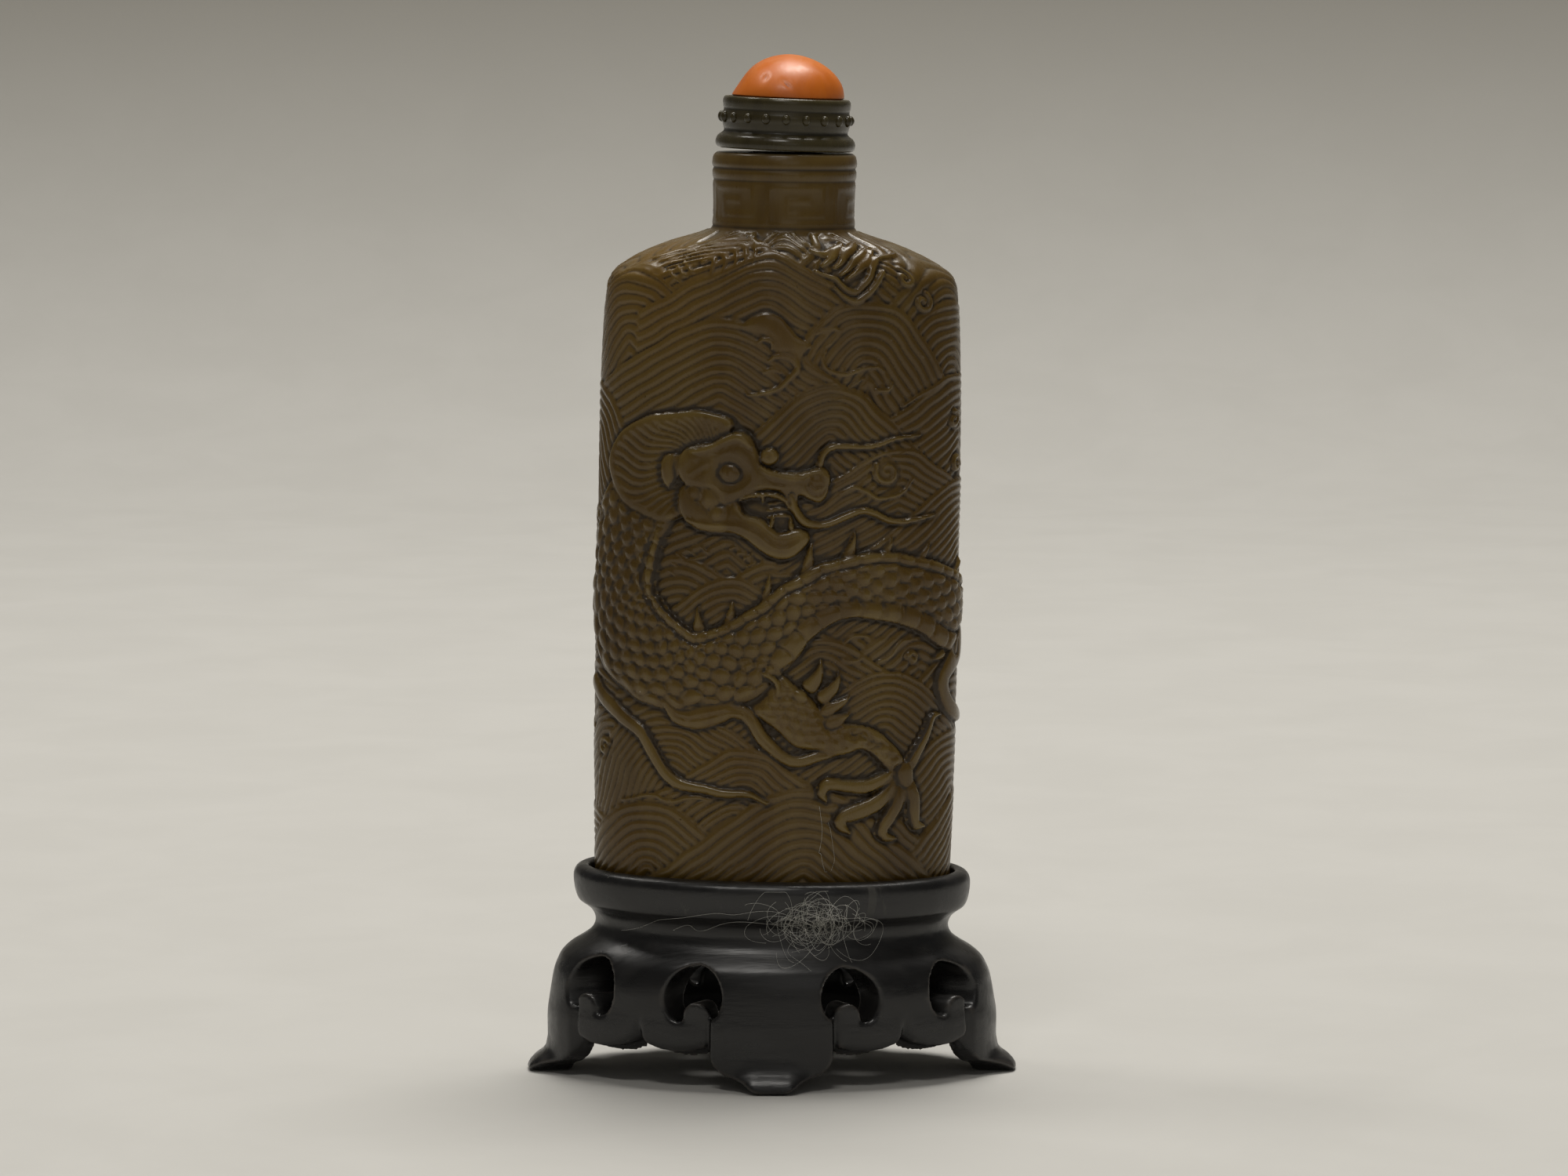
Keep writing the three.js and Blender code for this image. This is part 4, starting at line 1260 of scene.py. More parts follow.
# %% The collar
COLLAR_PROFILE = [  # radius, height from the collar's foot
    (6.2, 0.0), (6.45, 0.08), (6.6, 0.4), (6.58, 0.8), (6.4, 1.15), (6.15, 1.35), (5.9, 1.55),
    (5.85, 1.75), (5.92, 1.95), (5.98, 2.2), (6.02, 2.4), (6.1, 2.7), (6.1, 3.1), (6.0, 3.4),
    (5.94, 3.65), (6.0, 3.9), (6.05, 4.3), (6.02, 4.6), (5.9, 4.8), (5.78, 4.85), (5.7, 4.8),
    (5.66, 4.6), (5.64, 4.35),
]
COLLAR_SIDES = 160
BEADS = 20
BEAD_AT = 2.9
BEAD_RING_R = 6.03
BEAD_R = 0.43

line = smooth_line(COLLAR_PROFILE, 0.06)
around = np.arange(COLLAR_SIDES) * 2 * math.pi / COLLAR_SIDES
wobble = 0.02 * np.sin(3 * around + 1) + 0.012 * np.sin(7 * around)
radius = line[:, :1] + wobble[None, :] - 0.03
collar_points = np.stack([radius * np.cos(around), radius * np.sin(around),
                          np.repeat(line[:, 1:], COLLAR_SIDES, 1)], -1)
points, *faces = closed_rings(collar_points)
collar = mesh_object("turned_collar", on_bottle(points), *faces)
print("collar with", len(collar.data.polygons), "faces")


# %% A helper for node recipes
def recipe(name, kind, inputs, outputs):
    """An empty node group with named sockets. Gives the tree, its input and its output."""
    tree = bpy.data.node_groups.new(name, kind)
    for label, socket, default in inputs:
        made = tree.interface.new_socket(label, in_out="INPUT", socket_type=socket)
        if default is not None:
            made.default_value = default
    for label, socket in outputs:
        tree.interface.new_socket(label, in_out="OUTPUT", socket_type=socket)
    return tree, tree.nodes.new("NodeGroupInput"), tree.nodes.new("NodeGroupOutput")


def sums(tree, operation, a, b):
    """Arithmetic on two numbers."""
    return joined(tree, "ShaderNodeMath", [(a, 0), (b, 1)], operation=operation).outputs[0]


def vector_sums(tree, operation, a, b):
    """Arithmetic on two places or directions, part by part."""
    return joined(tree, "ShaderNodeVectorMath", [(a, 0), (b, 1)], operation=operation).outputs[0]


def dice(tree, low, high, seed):
    """Three random numbers for each point, each between its own low and high."""
    return joined(tree, "FunctionNodeRandomValue", [(low, "Min"), (high, "Max"), (seed, "Seed")],
                  data_type="FLOAT_VECTOR").outputs["Value"]


def grown(name, tree, paint, settings):
    """Runs a geometry recipe with its settings and keeps the result as a plain mesh."""
    settings = {**settings, "Material": paint.material}
    start = bpy.data.objects.new(name, bpy.data.meshes.new(name))
    bpy.context.scene.collection.objects.link(start)
    modifier = start.modifiers.new("recipe", "NODES")
    modifier.node_group = tree
    for item in tree.interface.items_tree:
        if item.item_type == "SOCKET" and item.in_out == "INPUT" and item.name in settings:
            modifier[item.identifier] = settings[item.name]
    seen = start.evaluated_get(bpy.context.evaluated_depsgraph_get())
    result = bpy.data.meshes.new_from_object(seen)
    start.modifiers.remove(modifier)
    start.data = result
    paint.dress(start)
    for face in result.polygons:
        face.use_smooth = True
    return start


print("helpers for recipes ready")

# %% Recipe: beads in a ring
tree, given, result = recipe(
    "bead_ring", "GeometryNodeTree",
    [("Count", "NodeSocketInt", 20), ("Ring Radius", "NodeSocketFloat", 0.006),
     ("Bead Radius", "NodeSocketFloat", 0.0004), ("Height", "NodeSocketFloat", 0.003),
     ("Material", "NodeSocketMaterial", None)],
    [("Geometry", "NodeSocketGeometry")])
ask = given.outputs
ring = joined(tree, "GeometryNodeMeshCircle", [(ask["Count"], "Vertices"), (ask["Ring Radius"], "Radius")])
bead = joined(tree, "GeometryNodeMeshUVSphere", [(14, "Segments"), (9, "Rings"),
                                                 (ask["Bead Radius"], "Radius")])
chance = dice(tree, (0.9, 0.9, 1.1), (1.02, 1.02, 1.3), 5)
set_out = joined(tree, "GeometryNodeInstanceOnPoints", [(ring.outputs["Mesh"], "Points"),
                                                        (bead.outputs["Mesh"], "Instance"),
                                                        (chance, "Scale")])
lift = joined(tree, "ShaderNodeCombineXYZ", [(ask["Height"], "Z")])
raised_up = joined(tree, "GeometryNodeTransform", [(set_out.outputs[0], "Geometry"),
                                                   (lift.outputs[0], "Translation")])
real = joined(tree, "GeometryNodeRealizeInstances", [(raised_up.outputs[0], "Geometry")])
dressed = joined(tree, "GeometryNodeSetMaterial", [(real.outputs[0], "Geometry"),
                                                   (ask["Material"], "Material")])
tree.links.new(dressed.outputs[0], result.inputs["Geometry"])

collar_paint = Paint("collar_horn_finish")
beads = grown("beads", tree, collar_paint, {
    "Count": BEADS, "Ring Radius": BEAD_RING_R * MM, "Bead Radius": BEAD_R * MM, "Height": BEAD_AT * MM})
spots = np.empty(len(beads.data.vertices) * 3, np.float32)
beads.data.vertices.foreach_get("co", spots)
beads.data.vertices.foreach_set("co", on_bottle(spots.reshape(-1, 3) / MM).astype(np.float32).ravel())
beads.data.update()
print("beads:", BEADS, "with", len(beads.data.polygons), "faces")

# %% The coral cabochon
CORAL_R, CORAL_HEIGHT, PEAK_SHIFT = 5.35, 4.28, 0.2
CORAL_SIDES, CORAL_RINGS = 180, 90
PIT = (-2.1, -4.0, 0.34, 0.08)
CREASE = (-0.1, 0.08)


def coral_points():
    """The pebble: a slightly uneven dome with a pit and a crease."""
    t = (1 - np.cos(np.linspace(0, math.pi, CORAL_RINGS))) / 2
    a = np.arange(CORAL_SIDES) * 2 * math.pi / CORAL_SIDES
    rise, angle = np.meshgrid(t, a, indexing="ij")
    radius = CORAL_R * (1 - np.minimum(rise, 0.9999) ** 2.1) ** 0.55
    leftward = np.clip(-np.cos(angle), 0, 1) ** 1.5
    radius *= 1 - 0.09 * leftward * np.sin(math.pi * rise) + 0.012 * np.sin(3 * angle + 5 * rise)
    radius *= 1 - 0.12 * ease(0.08, 0.0, rise)
    x = radius * np.cos(angle) + PEAK_SHIFT * ease(0, 1, rise)
    y = radius * np.sin(angle)
    z = CORAL_HEIGHT * rise
    pit = PIT[3] * np.exp(-(((x - PIT[0]) ** 2 + (y - PIT[1]) ** 2) / PIT[2] ** 2))
    bent = x - CREASE[0] + 0.9 * (z - 1.5)
    crease = CREASE[1] * np.exp(-((bent / 0.2) ** 2)) * np.exp(-(((z - 1.5) / 0.4) ** 2)) * (y < 0)
    shrink = 1 - (pit + crease) / CORAL_R
    return np.stack([x * shrink, y * shrink, z - pit * 0.5], -1)


points, *faces = closed_rings(coral_points())
points[:, 2] = np.clip(points[:, 2], 0, CORAL_HEIGHT) + COLLAR_HEIGHT - SEAT_DEPTH + FIT_GAP
coral = mesh_object("coral_cabochon", on_bottle(points), *faces)
print("coral with", len(coral.data.polygons), "faces")

# %% [markdown]
# ## Lint on the stand
# A tuft of fine fibres is caught on the waist of the stand, in front and a little to the
# right. Each fibre is a bent strand, drawn down on to the wood by a ray from the front.
# A node recipe scatters the strands, bends them with noise, and gives them thickness.

# %% Recipe: fibres caught on a surface
tree, given, result = recipe(
    "caught_fibres", "GeometryNodeTree",
    [("Count", "NodeSocketInt", 60), ("Spread", "NodeSocketVector", (0.004, 0.0, 0.002)),
     ("Middle", "NodeSocketVector", (0.0, -0.03, 0.0)), ("Curl", "NodeSocketFloat", 0.0016),
     ("Sweep", "NodeSocketFloat", 4.0), ("Thickness", "NodeSocketFloat", 0.00002),
     ("Loft", "NodeSocketFloat", 0.0006), ("Seed", "NodeSocketInt", 1),
     ("Lowest", "NodeSocketVector", (-1, -1, -1)), ("Highest", "NodeSocketVector", (1, 1, 1)),
     ("Turn From", "NodeSocketVector", (1.3, 0, 0)), ("Turn To", "NodeSocketVector", (1.8, 6.283, 0)),
     ("Surface", "NodeSocketObject", None), ("Material", "NodeSocketMaterial", None)],
    [("Geometry", "NodeSocketGeometry")])
ask = given.outputs
STRAND_POINTS = 40

# Where the strands lie: close together in the middle, a few far out.
spots = joined(tree, "GeometryNodePoints", [(ask["Count"], "Count")])
away = dice(tree, (-1, -1, -1), (1, 1, 1), ask["Seed"])
closer = vector_sums(tree, "MULTIPLY", vector_sums(tree, "MULTIPLY", away, away), away)
scatter = vector_sums(tree, "MULTIPLY", vector_sums(tree, "ADD", closer, away), ask["Spread"])
moved = joined(tree, "GeometryNodeSetPosition", [(spots.outputs[0], "Geometry"),
                                                 (vector_sums(tree, "ADD", scatter, ask["Middle"]),
                                                  "Position")])

# One strand: an arc, moved so that its own middle is at the centre.
strand = joined(tree, "GeometryNodeCurveArc", [(STRAND_POINTS, "Resolution"), (ask["Curl"], "Radius"),
                                               (ask["Sweep"], "Sweep Angle")])
limits = joined(tree, "GeometryNodeBoundBox", [(strand.outputs[0], "Geometry")])
centre = vector_sums(tree, "ADD", limits.outputs["Min"], limits.outputs["Max"])
centre = vector_sums(tree, "MULTIPLY", centre, (-0.5, -0.5, -0.5))
centred = joined(tree, "GeometryNodeSetPosition", [(strand.outputs[0], "Geometry"), (centre, "Offset")])
spin = dice(tree, ask["Turn From"], ask["Turn To"], 21)
sizes = joined(tree, "FunctionNodeRandomValue", [(0.5, 2), (1.4, 3), (22, "Seed")], data_type="FLOAT")
laid = joined(tree, "GeometryNodeInstanceOnPoints", [(moved.outputs[0], "Points"),
                                                     (centred.outputs[0], "Instance"),
                                                     (spin, "Rotation"), (sizes.outputs[1], "Scale")])
real = joined(tree, "GeometryNodeRealizeInstances", [(laid.outputs[0], "Geometry")])

# Each strand bends in its own way and stays within the lowest and highest place.
here = joined(tree, "GeometryNodeInputPosition")
each = joined(tree, "GeometryNodeInputIndex")
own = sums(tree, "DIVIDE", each.outputs[0], float(STRAND_POINTS))
own = joined(tree, "ShaderNodeMath", [(own, 0)], operation="FLOOR").outputs[0]
own = sums(tree, "MULTIPLY", own, 0.37)
bend = joined(tree, "ShaderNodeTexNoise", [(here.outputs[0], "Vector"), (own, "W"), (190.0, "Scale"),
                                           (0.0, "Detail")], noise_dimensions="4D")
bend = vector_sums(tree, "SUBTRACT", bend.outputs["Color"], (0.5, 0.5, 0.5))
bend = vector_sums(tree, "MULTIPLY", bend, (0.0055, 0.0, 0.0055))
there = vector_sums(tree, "ADD", here.outputs[0], bend)
there = vector_sums(tree, "MAXIMUM", there, ask["Lowest"])
there = vector_sums(tree, "MINIMUM", there, ask["Highest"])
curled = joined(tree, "GeometryNodeSetPosition", [(real.outputs[0], "Geometry"), (there, "Position")])

# A ray from the front finds the surface, and the strand rests a little above it.
surface = joined(tree, "GeometryNodeObjectInfo", [(ask["Surface"], "Object")])
here = joined(tree, "GeometryNodeInputPosition")
ray = joined(tree, "GeometryNodeRaycast", [(surface.outputs["Geometry"], "Target Geometry"),
                                           (here.outputs[0], "Source Position"),
                                           ((0, 1, 0), "Ray Direction"), (0.1, "Ray Length")])
loft = joined(tree, "ShaderNodeTexNoise", [(own, "W"), (here.outputs[0], "Vector"), (500.0, "Scale")],
              noise_dimensions="4D")
back = sums(tree, "MULTIPLY", sums(tree, "MULTIPLY", loft.outputs[0], ask["Loft"]), -1.0)
off = joined(tree, "ShaderNodeCombineXYZ", [(back, "Y")])
rest = vector_sums(tree, "ADD", ray.outputs["Hit Position"], off.outputs[0])
landed = joined(tree, "GeometryNodeSetPosition", [(curled.outputs[0], "Geometry"),
                                                  (ray.outputs["Is Hit"], "Selection"),
                                                  (rest, "Position")])
round_it = joined(tree, "GeometryNodeCurvePrimitiveCircle", [(3, "Resolution"),
                                                             (ask["Thickness"], "Radius")])
thick = joined(tree, "GeometryNodeCurveToMesh", [(landed.outputs[0], "Curve"),
                                                 (round_it.outputs[0], "Profile Curve"),
                                                 (True, "Fill Caps")])
dressed = joined(tree, "GeometryNodeSetMaterial", [(thick.outputs[0], "Geometry"),
                                                   (ask["Material"], "Material")])
tree.links.new(dressed.outputs[0], result.inputs["Geometry"])
print("recipe of", len(tree.nodes), "nodes")

# %% The tuft and its strays
lint_paint = Paint("lint_fibre")
LEDGE = {"Lowest": (-0.016, -0.03, 0.0095), "Highest": (0.016, -0.03, 0.0191), "Surface": stand}
STRAY = {"Count": 2, "Loft": 0.0003}
FIBRE = {"Thickness": 0.00001}
tuft = grown("lint_tuft", tree, lint_paint, {
    **FIBRE, **LEDGE, "Count": 72, "Loft": 0.0009, "Seed": 3, "Curl": 0.0016, "Sweep": 4.2,
    "Middle": (0.0042, -0.03, 0.0157), "Spread": (0.0024, 0.0, 0.0009)})
strays = grown("lint_strays", tree, lint_paint, {
    **FIBRE, **LEDGE, **STRAY, "Seed": 9, "Curl": 0.017, "Sweep": 0.8,
    "Middle": (-0.0045, -0.03, 0.0151), "Spread": (0.0008, 0.0, 0.0003),
    "Turn From": (1.5, -1.25, 0.0), "Turn To": (1.6, -1.1, 0.0)})
upper = grown("lint_on_bottle", tree, lint_paint, {
    **FIBRE, **STRAY, "Seed": 4, "Curl": 0.006, "Sweep": 1.2,
    "Middle": (0.0046, -0.03, 0.0235), "Spread": (0.0004, 0.0, 0.0008),
    "Turn From": (1.5, 0.5, 0.0), "Turn To": (1.6, 0.8, 0.0),
    "Lowest": (0.0, -0.03, 0.0205), "Highest": (0.012, -0.03, 0.034), "Surface": bottle})
print("lint:", sum(len(piece.data.polygons) for piece in (tuft, strays, upper)), "faces")

# %% [markdown]
# ## Finishes
# The finishes paint shade into the cuts and corners, and paint edges paler, partly as wear and partly as
# painted highlight.
# So the finish has to know where the cuts and edges are. For the bottle that comes from
# the carving sheet: how far each place stands above its surroundings. For the other
# pieces it comes from the bend of the surface itself. Both are kept on the mesh, and the
# same few groups of nodes use them in every finish.

# %% Where the surface stands out or lies back
def set_values(piece, name, values):
    """Keeps one number for every point of a mesh."""
    layer = piece.data.attributes.new(name, "FLOAT", "POINT")
    layer.data.foreach_set("value", np.asarray(values, np.float32))


def point_places(piece):
    """The places of a mesh's points, in metres."""
    spots = np.empty(len(piece.data.vertices) * 3, np.float32)
    piece.data.vertices.foreach_get("co", spots)
    return spots.reshape(-1, 3).astype(float)


def softened(field, reach):
    """A blurred copy of the sheet, which closes round the body."""
    up = np.fft.fftfreq(field.shape[0] * 2)[:, None] / CELL
    round_it = np.fft.rfftfreq(field.shape[1])[None, :] / STEP_S
    both = np.vstack([field, field[::-1]])
    spectrum = np.fft.rfft2(both) * np.exp(-2 * (math.pi * reach) ** 2 * (up**2 + round_it**2))
    return np.fft.irfft2(spectrum, both.shape)[: field.shape[0]]


def on_sheet(points):
    """Place on the sheet of points of the bottle, and which of them are on its outside."""
    x, y, z = points[:, 0] / MM, points[:, 1] / MM, points[:, 2] / MM - BOTTLE_FOOT
    h = z * math.cos(LEAN) + x * math.sin(LEAN)
    across = x * math.cos(LEAN) - z * math.sin(LEAN)
    half_x = np.interp(h, OUTLINE[:, 0], OUTLINE[:, 1])
    half_y = np.interp(h, OUTLINE[:, 0], OUTLINE[:, 2])
    power = body_power(half_x)
    share_x, share_y = (np.abs(across) / half_x) ** (power / 2), (np.abs(y) / half_y) ** (power / 2)
    angle = np.arctan2(np.sign(across) * share_x, -np.sign(y) * share_y) % (2 * math.pi)
    return np.interp(angle, turn, round_s), h, np.hypot(share_x, share_y) > 0.85


def bend_of(piece, passes, strength):
    """0.5 where a surface is flat, more on its edges and less in its corners."""
    points = point_places(piece) / MM
    count = len(points)
    pairs = np.empty(len(piece.data.edges) * 2, np.int32)
    piece.data.edges.foreach_get("vertices", pairs)
    a, b = pairs.reshape(-1, 2).T
    normals = np.empty(count * 3, np.float32)
    piece.data.vertices.foreach_get("normal", normals)
    normals = normals.reshape(-1, 3)
    apart = points[b] - points[a]
    far = (apart**2).sum(1) + 1e-9
    slope_a = -(apart * normals[a]).sum(1) / far
    slope_b = (apart * normals[b]).sum(1) / far
    near = np.bincount(a, minlength=count) + np.bincount(b, minlength=count)
    near = np.maximum(near, 1)
    bend = (np.bincount(a, slope_a, count) + np.bincount(b, slope_b, count)) / near
    for _ in range(passes):
        total = np.bincount(a, bend[b], count) + np.bincount(b, bend[a], count)
        bend = 0.4 * bend + 0.6 * total / near
    return np.clip(0.5 + strength * bend, 0, 1)


fine_cut = relief - softened(relief, 0.45)
broad_cut = relief - softened(relief, 1.8)
s, h, outside_wall = on_sheet(point_places(bottle))
carved = 0.5 + 2.8 * sheet_lookup(fine_cut, s, h) + 0.3 * sheet_lookup(broad_cut, s, h)
set_values(bottle, "carved", np.where(outside_wall, np.clip(carved, 0, 1), 0.45))
for piece, passes, strength in ((stand, 3, 0.5), (collar, 1, 0.3), (beads, 0, 0.1), (coral, 2, 0.8)):
    set_values(piece, "bend", bend_of(piece, passes, strength))
print("wear and cuts written on", 5, "pieces")

# %% Small steps used in every finish
def blend(tree, factor, a, b):
    """A colour between a and b."""
    return joined(tree, "ShaderNodeMix", [(factor, 0), (a, 6), (b, 7)], data_type="RGBA").outputs[2]


def between(tree, value, low, high, to_low=0.0, to_high=1.0):
    """A value eased from to_low at low to to_high at high."""
    return joined(tree, "ShaderNodeMapRange", [(value, 0), (low, 1), (high, 2), (to_low, 3), (to_high, 4)],
                  interpolation_type="SMOOTHSTEP").outputs[0]


def placed(tree, group, **values):
    """Puts a group of nodes in a finish; values are numbers or sockets by input name."""
    node = joined(tree, "ShaderNodeGroup", node_tree=group)
    for label, value in values.items():
        if hasattr(value, "is_output"):
            tree.links.new(value, node.inputs[label])
        else:
            node.inputs[label].default_value = value
    return node.outputs


print("colours, steps and groups can be placed")

# %% Group: grain
grain_group, given, result = recipe(
    "drawn_out_grain", "ShaderNodeTree",
    [("Vector", "NodeSocketVector", None), ("Stretch", "NodeSocketVector", (1, 1, 1)),
     ("Scale", "NodeSocketFloat", 200.0)],
    [("Grain", "NodeSocketFloat"), ("Fine", "NodeSocketFloat")])
tree, ask = grain_group, given.outputs
stretched = vector_sums(tree, "MULTIPLY", ask["Vector"], ask["Stretch"])
streaks = joined(tree, "ShaderNodeTexNoise", [(stretched, "Vector"), (ask["Scale"], "Scale"),
                                              (5.0, "Detail"), (0.6, "Roughness"), (0.4, "Distortion")])
finer = sums(tree, "MULTIPLY", ask["Scale"], 6.0)
fine = joined(tree, "ShaderNodeTexNoise", [(stretched, "Vector"), (finer, "Scale"), (3.0, "Detail")])
tree.links.new(between(tree, streaks.outputs[0], 0.3, 0.7), result.inputs["Grain"])
tree.links.new(between(tree, fine.outputs[0], 0.3, 0.7), result.inputs["Fine"])
print("grain group with", len(tree.nodes), "nodes")

# %% Group: edge wear and painted highlight
# Paler convex edges: partly wear, partly painted highlight.
wear_and_highlight_group, given, result = recipe(
    "worn_and_highlight_edges", "ShaderNodeTree",
    [("Bend", "NodeSocketFloat", 0.5), ("Grain", "NodeSocketFloat", 0.5), ("From", "NodeSocketFloat", 0.6),
     ("To", "NodeSocketFloat", 0.9)],
    [("Wear And Highlight", "NodeSocketFloat")])
tree, ask = wear_and_highlight_group, given.outputs
broken = sums(tree, "MULTIPLY", sums(tree, "SUBTRACT", ask["Grain"], 0.5), 0.3)
worn = joined(tree, "ShaderNodeMapRange", [(sums(tree, "ADD", ask["Bend"], broken), 0), (ask["From"], 1),
                                           (ask["To"], 2)], interpolation_type="SMOOTHSTEP")
tree.links.new(worn.outputs[0], result.inputs["Wear And Highlight"])
print("wear group with", len(tree.nodes), "nodes")

# %% Group: dust
dust_group, given, result = recipe(
    "settled_dust", "ShaderNodeTree",
    [("Vector", "NodeSocketVector", None), ("Amount", "NodeSocketFloat", 0.3),
     ("Speck Size", "NodeSocketFloat", 0.055)],
    [("Dust", "NodeSocketFloat"), ("Specks", "NodeSocketFloat")])
tree, ask = dust_group, given.outputs
facing = joined(tree, "ShaderNodeNewGeometry").outputs["Normal"]
upward = joined(tree, "ShaderNodeSeparateXYZ", [(facing, 0)]).outputs["Z"]
patches = joined(tree, "ShaderNodeTexNoise", [(ask["Vector"], "Vector"), (420.0, "Scale"),
                                              (4.0, "Detail")])
lying = sums(tree, "MULTIPLY", between(tree, upward, 0.35, 0.95),
             between(tree, patches.outputs[0], 0.42, 0.7))
tree.links.new(sums(tree, "MULTIPLY", lying, ask["Amount"]), result.inputs["Dust"])
cells = joined(tree, "ShaderNodeTexVoronoi", [(ask["Vector"], "Vector"), (650.0, "Scale")])
chosen = joined(tree, "ShaderNodeSeparateColor", [(cells.outputs["Color"], 0)]).outputs[0]
near = sums(tree, "LESS_THAN", cells.outputs["Distance"], ask["Speck Size"])
rare = sums(tree, "GREATER_THAN", chosen, 0.975)
tree.links.new(sums(tree, "MULTIPLY", near, rare), result.inputs["Specks"])
print("dust group with", len(tree.nodes), "nodes")

# %% [markdown]
# ### Horn
# Carved horn is olive-brown and a little translucent. The cuts are painted nearly black,
# as painted shade. The tops of the crests and scales are glossier, and are painted paler,
# partly as wear and partly as painted highlight. At the left shoulder a glow is painted
# into the colour, standing in for light that comes through the thin wall.

# %% Horn
PAINTED_GLOW_AT = (-0.0105, -0.005, 0.0772)
PAINTED_GLOW_REACH = 0.011


def horn(paint, mask, deep, middle, high, painted_glow=0.0):
    """Horn of three tones: deep is painted shade in the cuts and corners, high is what stands out, painted
    paler as wear and painted highlight; the last number is the strength of a glow of light through the
    wall, painted into the colour.
    """
    tree, place, cut = paint.tree, paint.place(), paint.mask(mask)
    grain = placed(tree, grain_group, Vector=place, Stretch=(1.0, 1.0, 0.22), Scale=170.0)
    clouds = placed(tree, grain_group, Vector=place, Stretch=(1.0, 1.0, 0.7), Scale=55.0)
    wear_and_highlight = placed(tree, wear_and_highlight_group, Bend=cut, Grain=grain["Grain"], From=0.58, To=1.1)
    dust = placed(tree, dust_group, Vector=place, Amount=0.3)
    body = blend(tree, clouds["Grain"], middle, [0.72 * v for v in middle[:3]] + [1])
    body = blend(tree, between(tree, grain["Grain"], 0.0, 1.0, 0.0, 0.35), body, high)
    # Painted glow: light through the thin wall at the left shoulder, painted into the colour.
    if painted_glow:
        far = joined(tree, "ShaderNodeVectorMath", [(place, 0), (PAINTED_GLOW_AT, 1)], operation="DISTANCE")
        near = between(tree, far.outputs["Value"], PAINTED_GLOW_REACH, 0.001)
        body = blend(tree, sums(tree, "MULTIPLY", near, painted_glow), body, (0.17, 0.092, 0.014, 1))
    # Painted shade: the cuts and corners are painted dark.
    colour = blend(tree, between(tree, cut, 0.5, 0.12), body, deep)
    # Paler crests and edges: partly wear, partly painted highlight.
    colour = blend(tree, wear_and_highlight["Wear And Highlight"], colour, high)
    colour = blend(tree, dust["Dust"], colour, (0.2, 0.18, 0.13, 1))
    paint.feed("Base Color", blend(tree, dust["Specks"], colour, (0.45, 0.42, 0.35, 1)))
    paint.feed("Roughness", sums(tree, "ADD", between(tree, cut, 0.2, 0.7, 0.5, 0.2),
                                 sums(tree, "MULTIPLY", grain["Fine"], 0.08)))
    paint.rub(grain["Fine"], 0.12, 0.00008)
    paint.even(IOR=1.4, Coat_Weight=0.15, Coat_Roughness=0.14)


horn_paint = Paint("carved_horn_finish")
# For the bottle and the collar: the first colour is painted shade for cuts and corners, the last is partly
# painted highlight on crests and edges.
horn(horn_paint, "carved", (0.024, 0.013, 0.002, 1), (0.092, 0.05, 0.006, 1), (0.14, 0.092, 0.022, 1),
     painted_glow=0.4)
horn(collar_paint, "bend", (0.008, 0.006, 0.0015, 1), (0.034, 0.025, 0.007, 1), (0.062, 0.05, 0.02, 1))
horn_paint.dress(bottle)
collar_paint.dress(collar)
print("horn finished")

# %% [markdown]
# ### Dark wood
# The stand is hardwood stained nearly black and rubbed with wax. The grain runs across
# the front. Edges are painted a warmer, paler brown, partly wear and partly painted
# highlight, and inner corners are painted darker as painted shade. The rim is scratched,
# and dust has settled on the ledge of the waist.

# %% Wood
RIM_FROM, RIM_TO = 0.0158, 0.0175
wood_paint = Paint("stand_wood_finish")
tree, place, bend = wood_paint.tree, wood_paint.place(), wood_paint.mask("bend")
grain = placed(tree, grain_group, Vector=place, Stretch=(0.12, 1.0, 1.0), Scale=420.0)
scratch = placed(tree, grain_group, Vector=place, Stretch=(0.5, 0.5, 0.07), Scale=900.0)
wear_and_highlight = placed(tree, wear_and_highlight_group, Bend=bend, Grain=grain["Grain"], From=0.66, To=0.95)
dust = placed(tree, dust_group, Vector=place, Amount=0.15)
colour = blend(tree, grain["Grain"], (0.0038, 0.0036, 0.0036, 1), (0.0085, 0.0078, 0.0074, 1))
# Painted shade: the inner corners of the stand are painted darker.
colour = blend(tree, between(tree, bend, 0.45, 0.25), colour, (0.003, 0.0028, 0.0026, 1))
# Paler edges of the wood: partly wear, partly painted highlight.
colour = blend(tree, sums(tree, "MULTIPLY", wear_and_highlight["Wear And Highlight"], 0.6), colour, (0.05, 0.043, 0.036, 1))
height_up = joined(tree, "ShaderNodeSeparateXYZ", [(place, 0)]).outputs["Z"]
on_rim = between(tree, height_up, RIM_FROM, RIM_TO)
lines = sums(tree, "MULTIPLY", between(tree, scratch["Grain"], 0.9, 1.0), on_rim)
colour = blend(tree, sums(tree, "MULTIPLY", lines, 0.3), colour, (0.1, 0.095, 0.08, 1))
colour = blend(tree, dust["Dust"], colour, (0.12, 0.115, 0.105, 1))
wood_paint.feed("Base Color", blend(tree, dust["Specks"], colour, (0.4, 0.39, 0.36, 1)))
wood_paint.feed("Roughness", sums(tree, "ADD", between(tree, grain["Grain"], 0.0, 1.0, 0.26, 0.42),
                                  sums(tree, "MULTIPLY", lines, 0.2)))
wood_paint.rub(grain["Grain"], 0.4, 0.00006)
wood_paint.even(Coat_Weight=0.1, Coat_Roughness=0.3)
wood_paint.dress(stand)
print("wood finished")

# %% [markdown]
# ### Coral, cork and lint
# Coral is orange all through, with faint growth lines, and takes a soft polish. Its
# pit and crease are painted darker, as painted shade. Cork is pale brown with darker
# cells. Lint is matt and nearly white. They are built from the same groups as the horn
# and the wood, with values of their own.

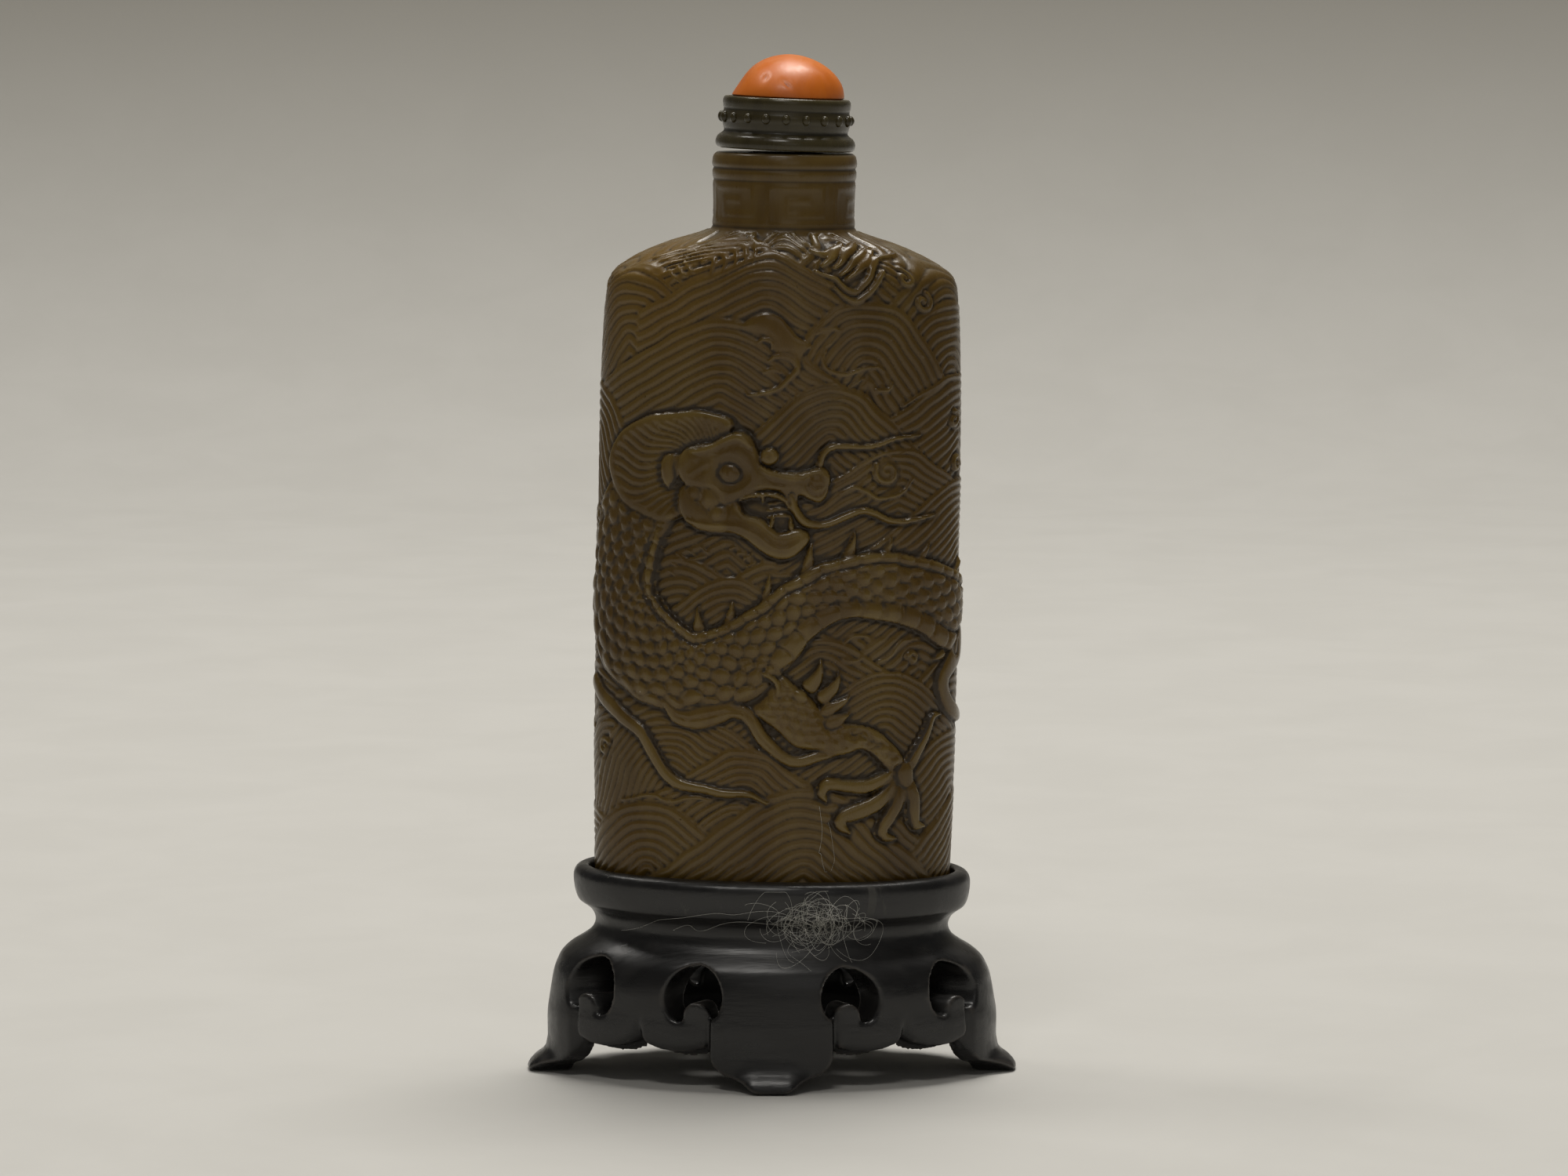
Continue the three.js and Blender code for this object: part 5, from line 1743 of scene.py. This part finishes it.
# %% Coral
coral_paint = Paint("coral_finish")
tree, place, bend = coral_paint.tree, coral_paint.place(), coral_paint.mask("bend")
growth = placed(tree, grain_group, Vector=place, Stretch=(1.0, 1.0, 0.35), Scale=230.0)
veins = placed(tree, grain_group, Vector=place, Stretch=(1.0, 0.7, 1.0), Scale=90.0)
dust = placed(tree, dust_group, Vector=place, Amount=0.1)
colour = blend(tree, veins["Grain"], (0.54, 0.11, 0.002, 1), (0.61, 0.15, 0.005, 1))
darker = between(tree, growth["Grain"], 0.55, 1.0, 0.0, 0.35)
colour = blend(tree, darker, colour, (0.45, 0.09, 0.003, 1))
# Painted shade: the coral's pit and crease are painted darker.
colour = blend(tree, between(tree, bend, 0.42, 0.25), colour, (0.28, 0.055, 0.004, 1))
coral_paint.feed("Base Color", blend(tree, dust["Dust"], colour, (0.6, 0.4, 0.25, 1)))
coral_paint.feed("Roughness", between(tree, growth["Fine"], 0.0, 1.0, 0.36, 0.48))
coral_paint.rub(growth["Grain"], 0.1, 0.00008)
coral_paint.even(Coat_Weight=0.12, Coat_Roughness=0.22)
coral_paint.dress(coral)
print("coral finished")

# %% Cork
cork_paint = Paint("cork_finish")
tree, place = cork_paint.tree, cork_paint.place()
pores = joined(tree, "ShaderNodeTexVoronoi", [(place, "Vector"), (1400.0, "Scale")]).outputs["Distance"]
fleck = placed(tree, grain_group, Vector=place, Scale=600.0)
colour = blend(tree, fleck["Grain"], (0.30, 0.19, 0.10, 1), (0.20, 0.11, 0.05, 1))
colour = blend(tree, between(tree, pores, 0.3, 0.1, 0.0, 0.6), colour, (0.08, 0.04, 0.02, 1))
cork_paint.feed("Base Color", colour)
cork_paint.feed("Roughness", between(tree, fleck["Fine"], 0.0, 1.0, 0.8, 0.95))
cork_paint.rub(pores, 0.3, 0.0001)
cork_paint.dress(frame["nodes"]["stopper_cork"])
print("cork finished")

# %% Lint and paper
tree, place = lint_paint.tree, lint_paint.place()
dye = placed(tree, grain_group, Vector=place, Scale=500.0)
lint_paint.feed("Base Color", blend(tree, dye["Grain"], (0.8, 0.79, 0.73, 1), (0.55, 0.54, 0.48, 1)))
lint_paint.even(Roughness=0.9)
tree, place = paper.tree, paper.place()
tooth = placed(tree, grain_group, Vector=place, Scale=40.0)
colour = blend(tree, tooth["Grain"], (0.49, 0.482, 0.455, 1), (0.51, 0.502, 0.475, 1))
# Painted shade: the sheet's colour darkens from the floor up the wall.
up_sheet = joined(tree, "ShaderNodeSeparateXYZ", [(place, 0)]).outputs["Z"]
painted_shade_up_wall = joined(tree, "ShaderNodeMapRange", [(up_sheet, 0), (0.0, 1), (0.11, 2)]).outputs[0]
paper.feed("Base Color", blend(tree, painted_shade_up_wall, colour, (0.225, 0.216, 0.192, 1)))
print("lint and paper finished")

# %% [markdown]
# ## Pieces on the body
# Nothing here moves, so every piece rides on the one body. A table lists each piece with
# the part of the solid model it stands for, if any, and a finish; those parts are hidden.

# %% Every piece rides on the root body, and the parts it stands for are hidden
HANDED = [  # piece, solid model's name for it, finish
    (bottle, "bottle", "carved_horn"), (stand, "stand", "stand_wood"),
    (collar, "stopper_collar", "collar_horn"), (coral, "stopper_cabochon", "coral"),
    (beads, None, "collar_horn"), (tuft, None, None), (strays, None, None), (upper, None, None),
]
for piece, node, finish in HANDED:
    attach(piece, "root")
    if node:
        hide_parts(node)
print(len(HANDED), "pieces ride on the root body")
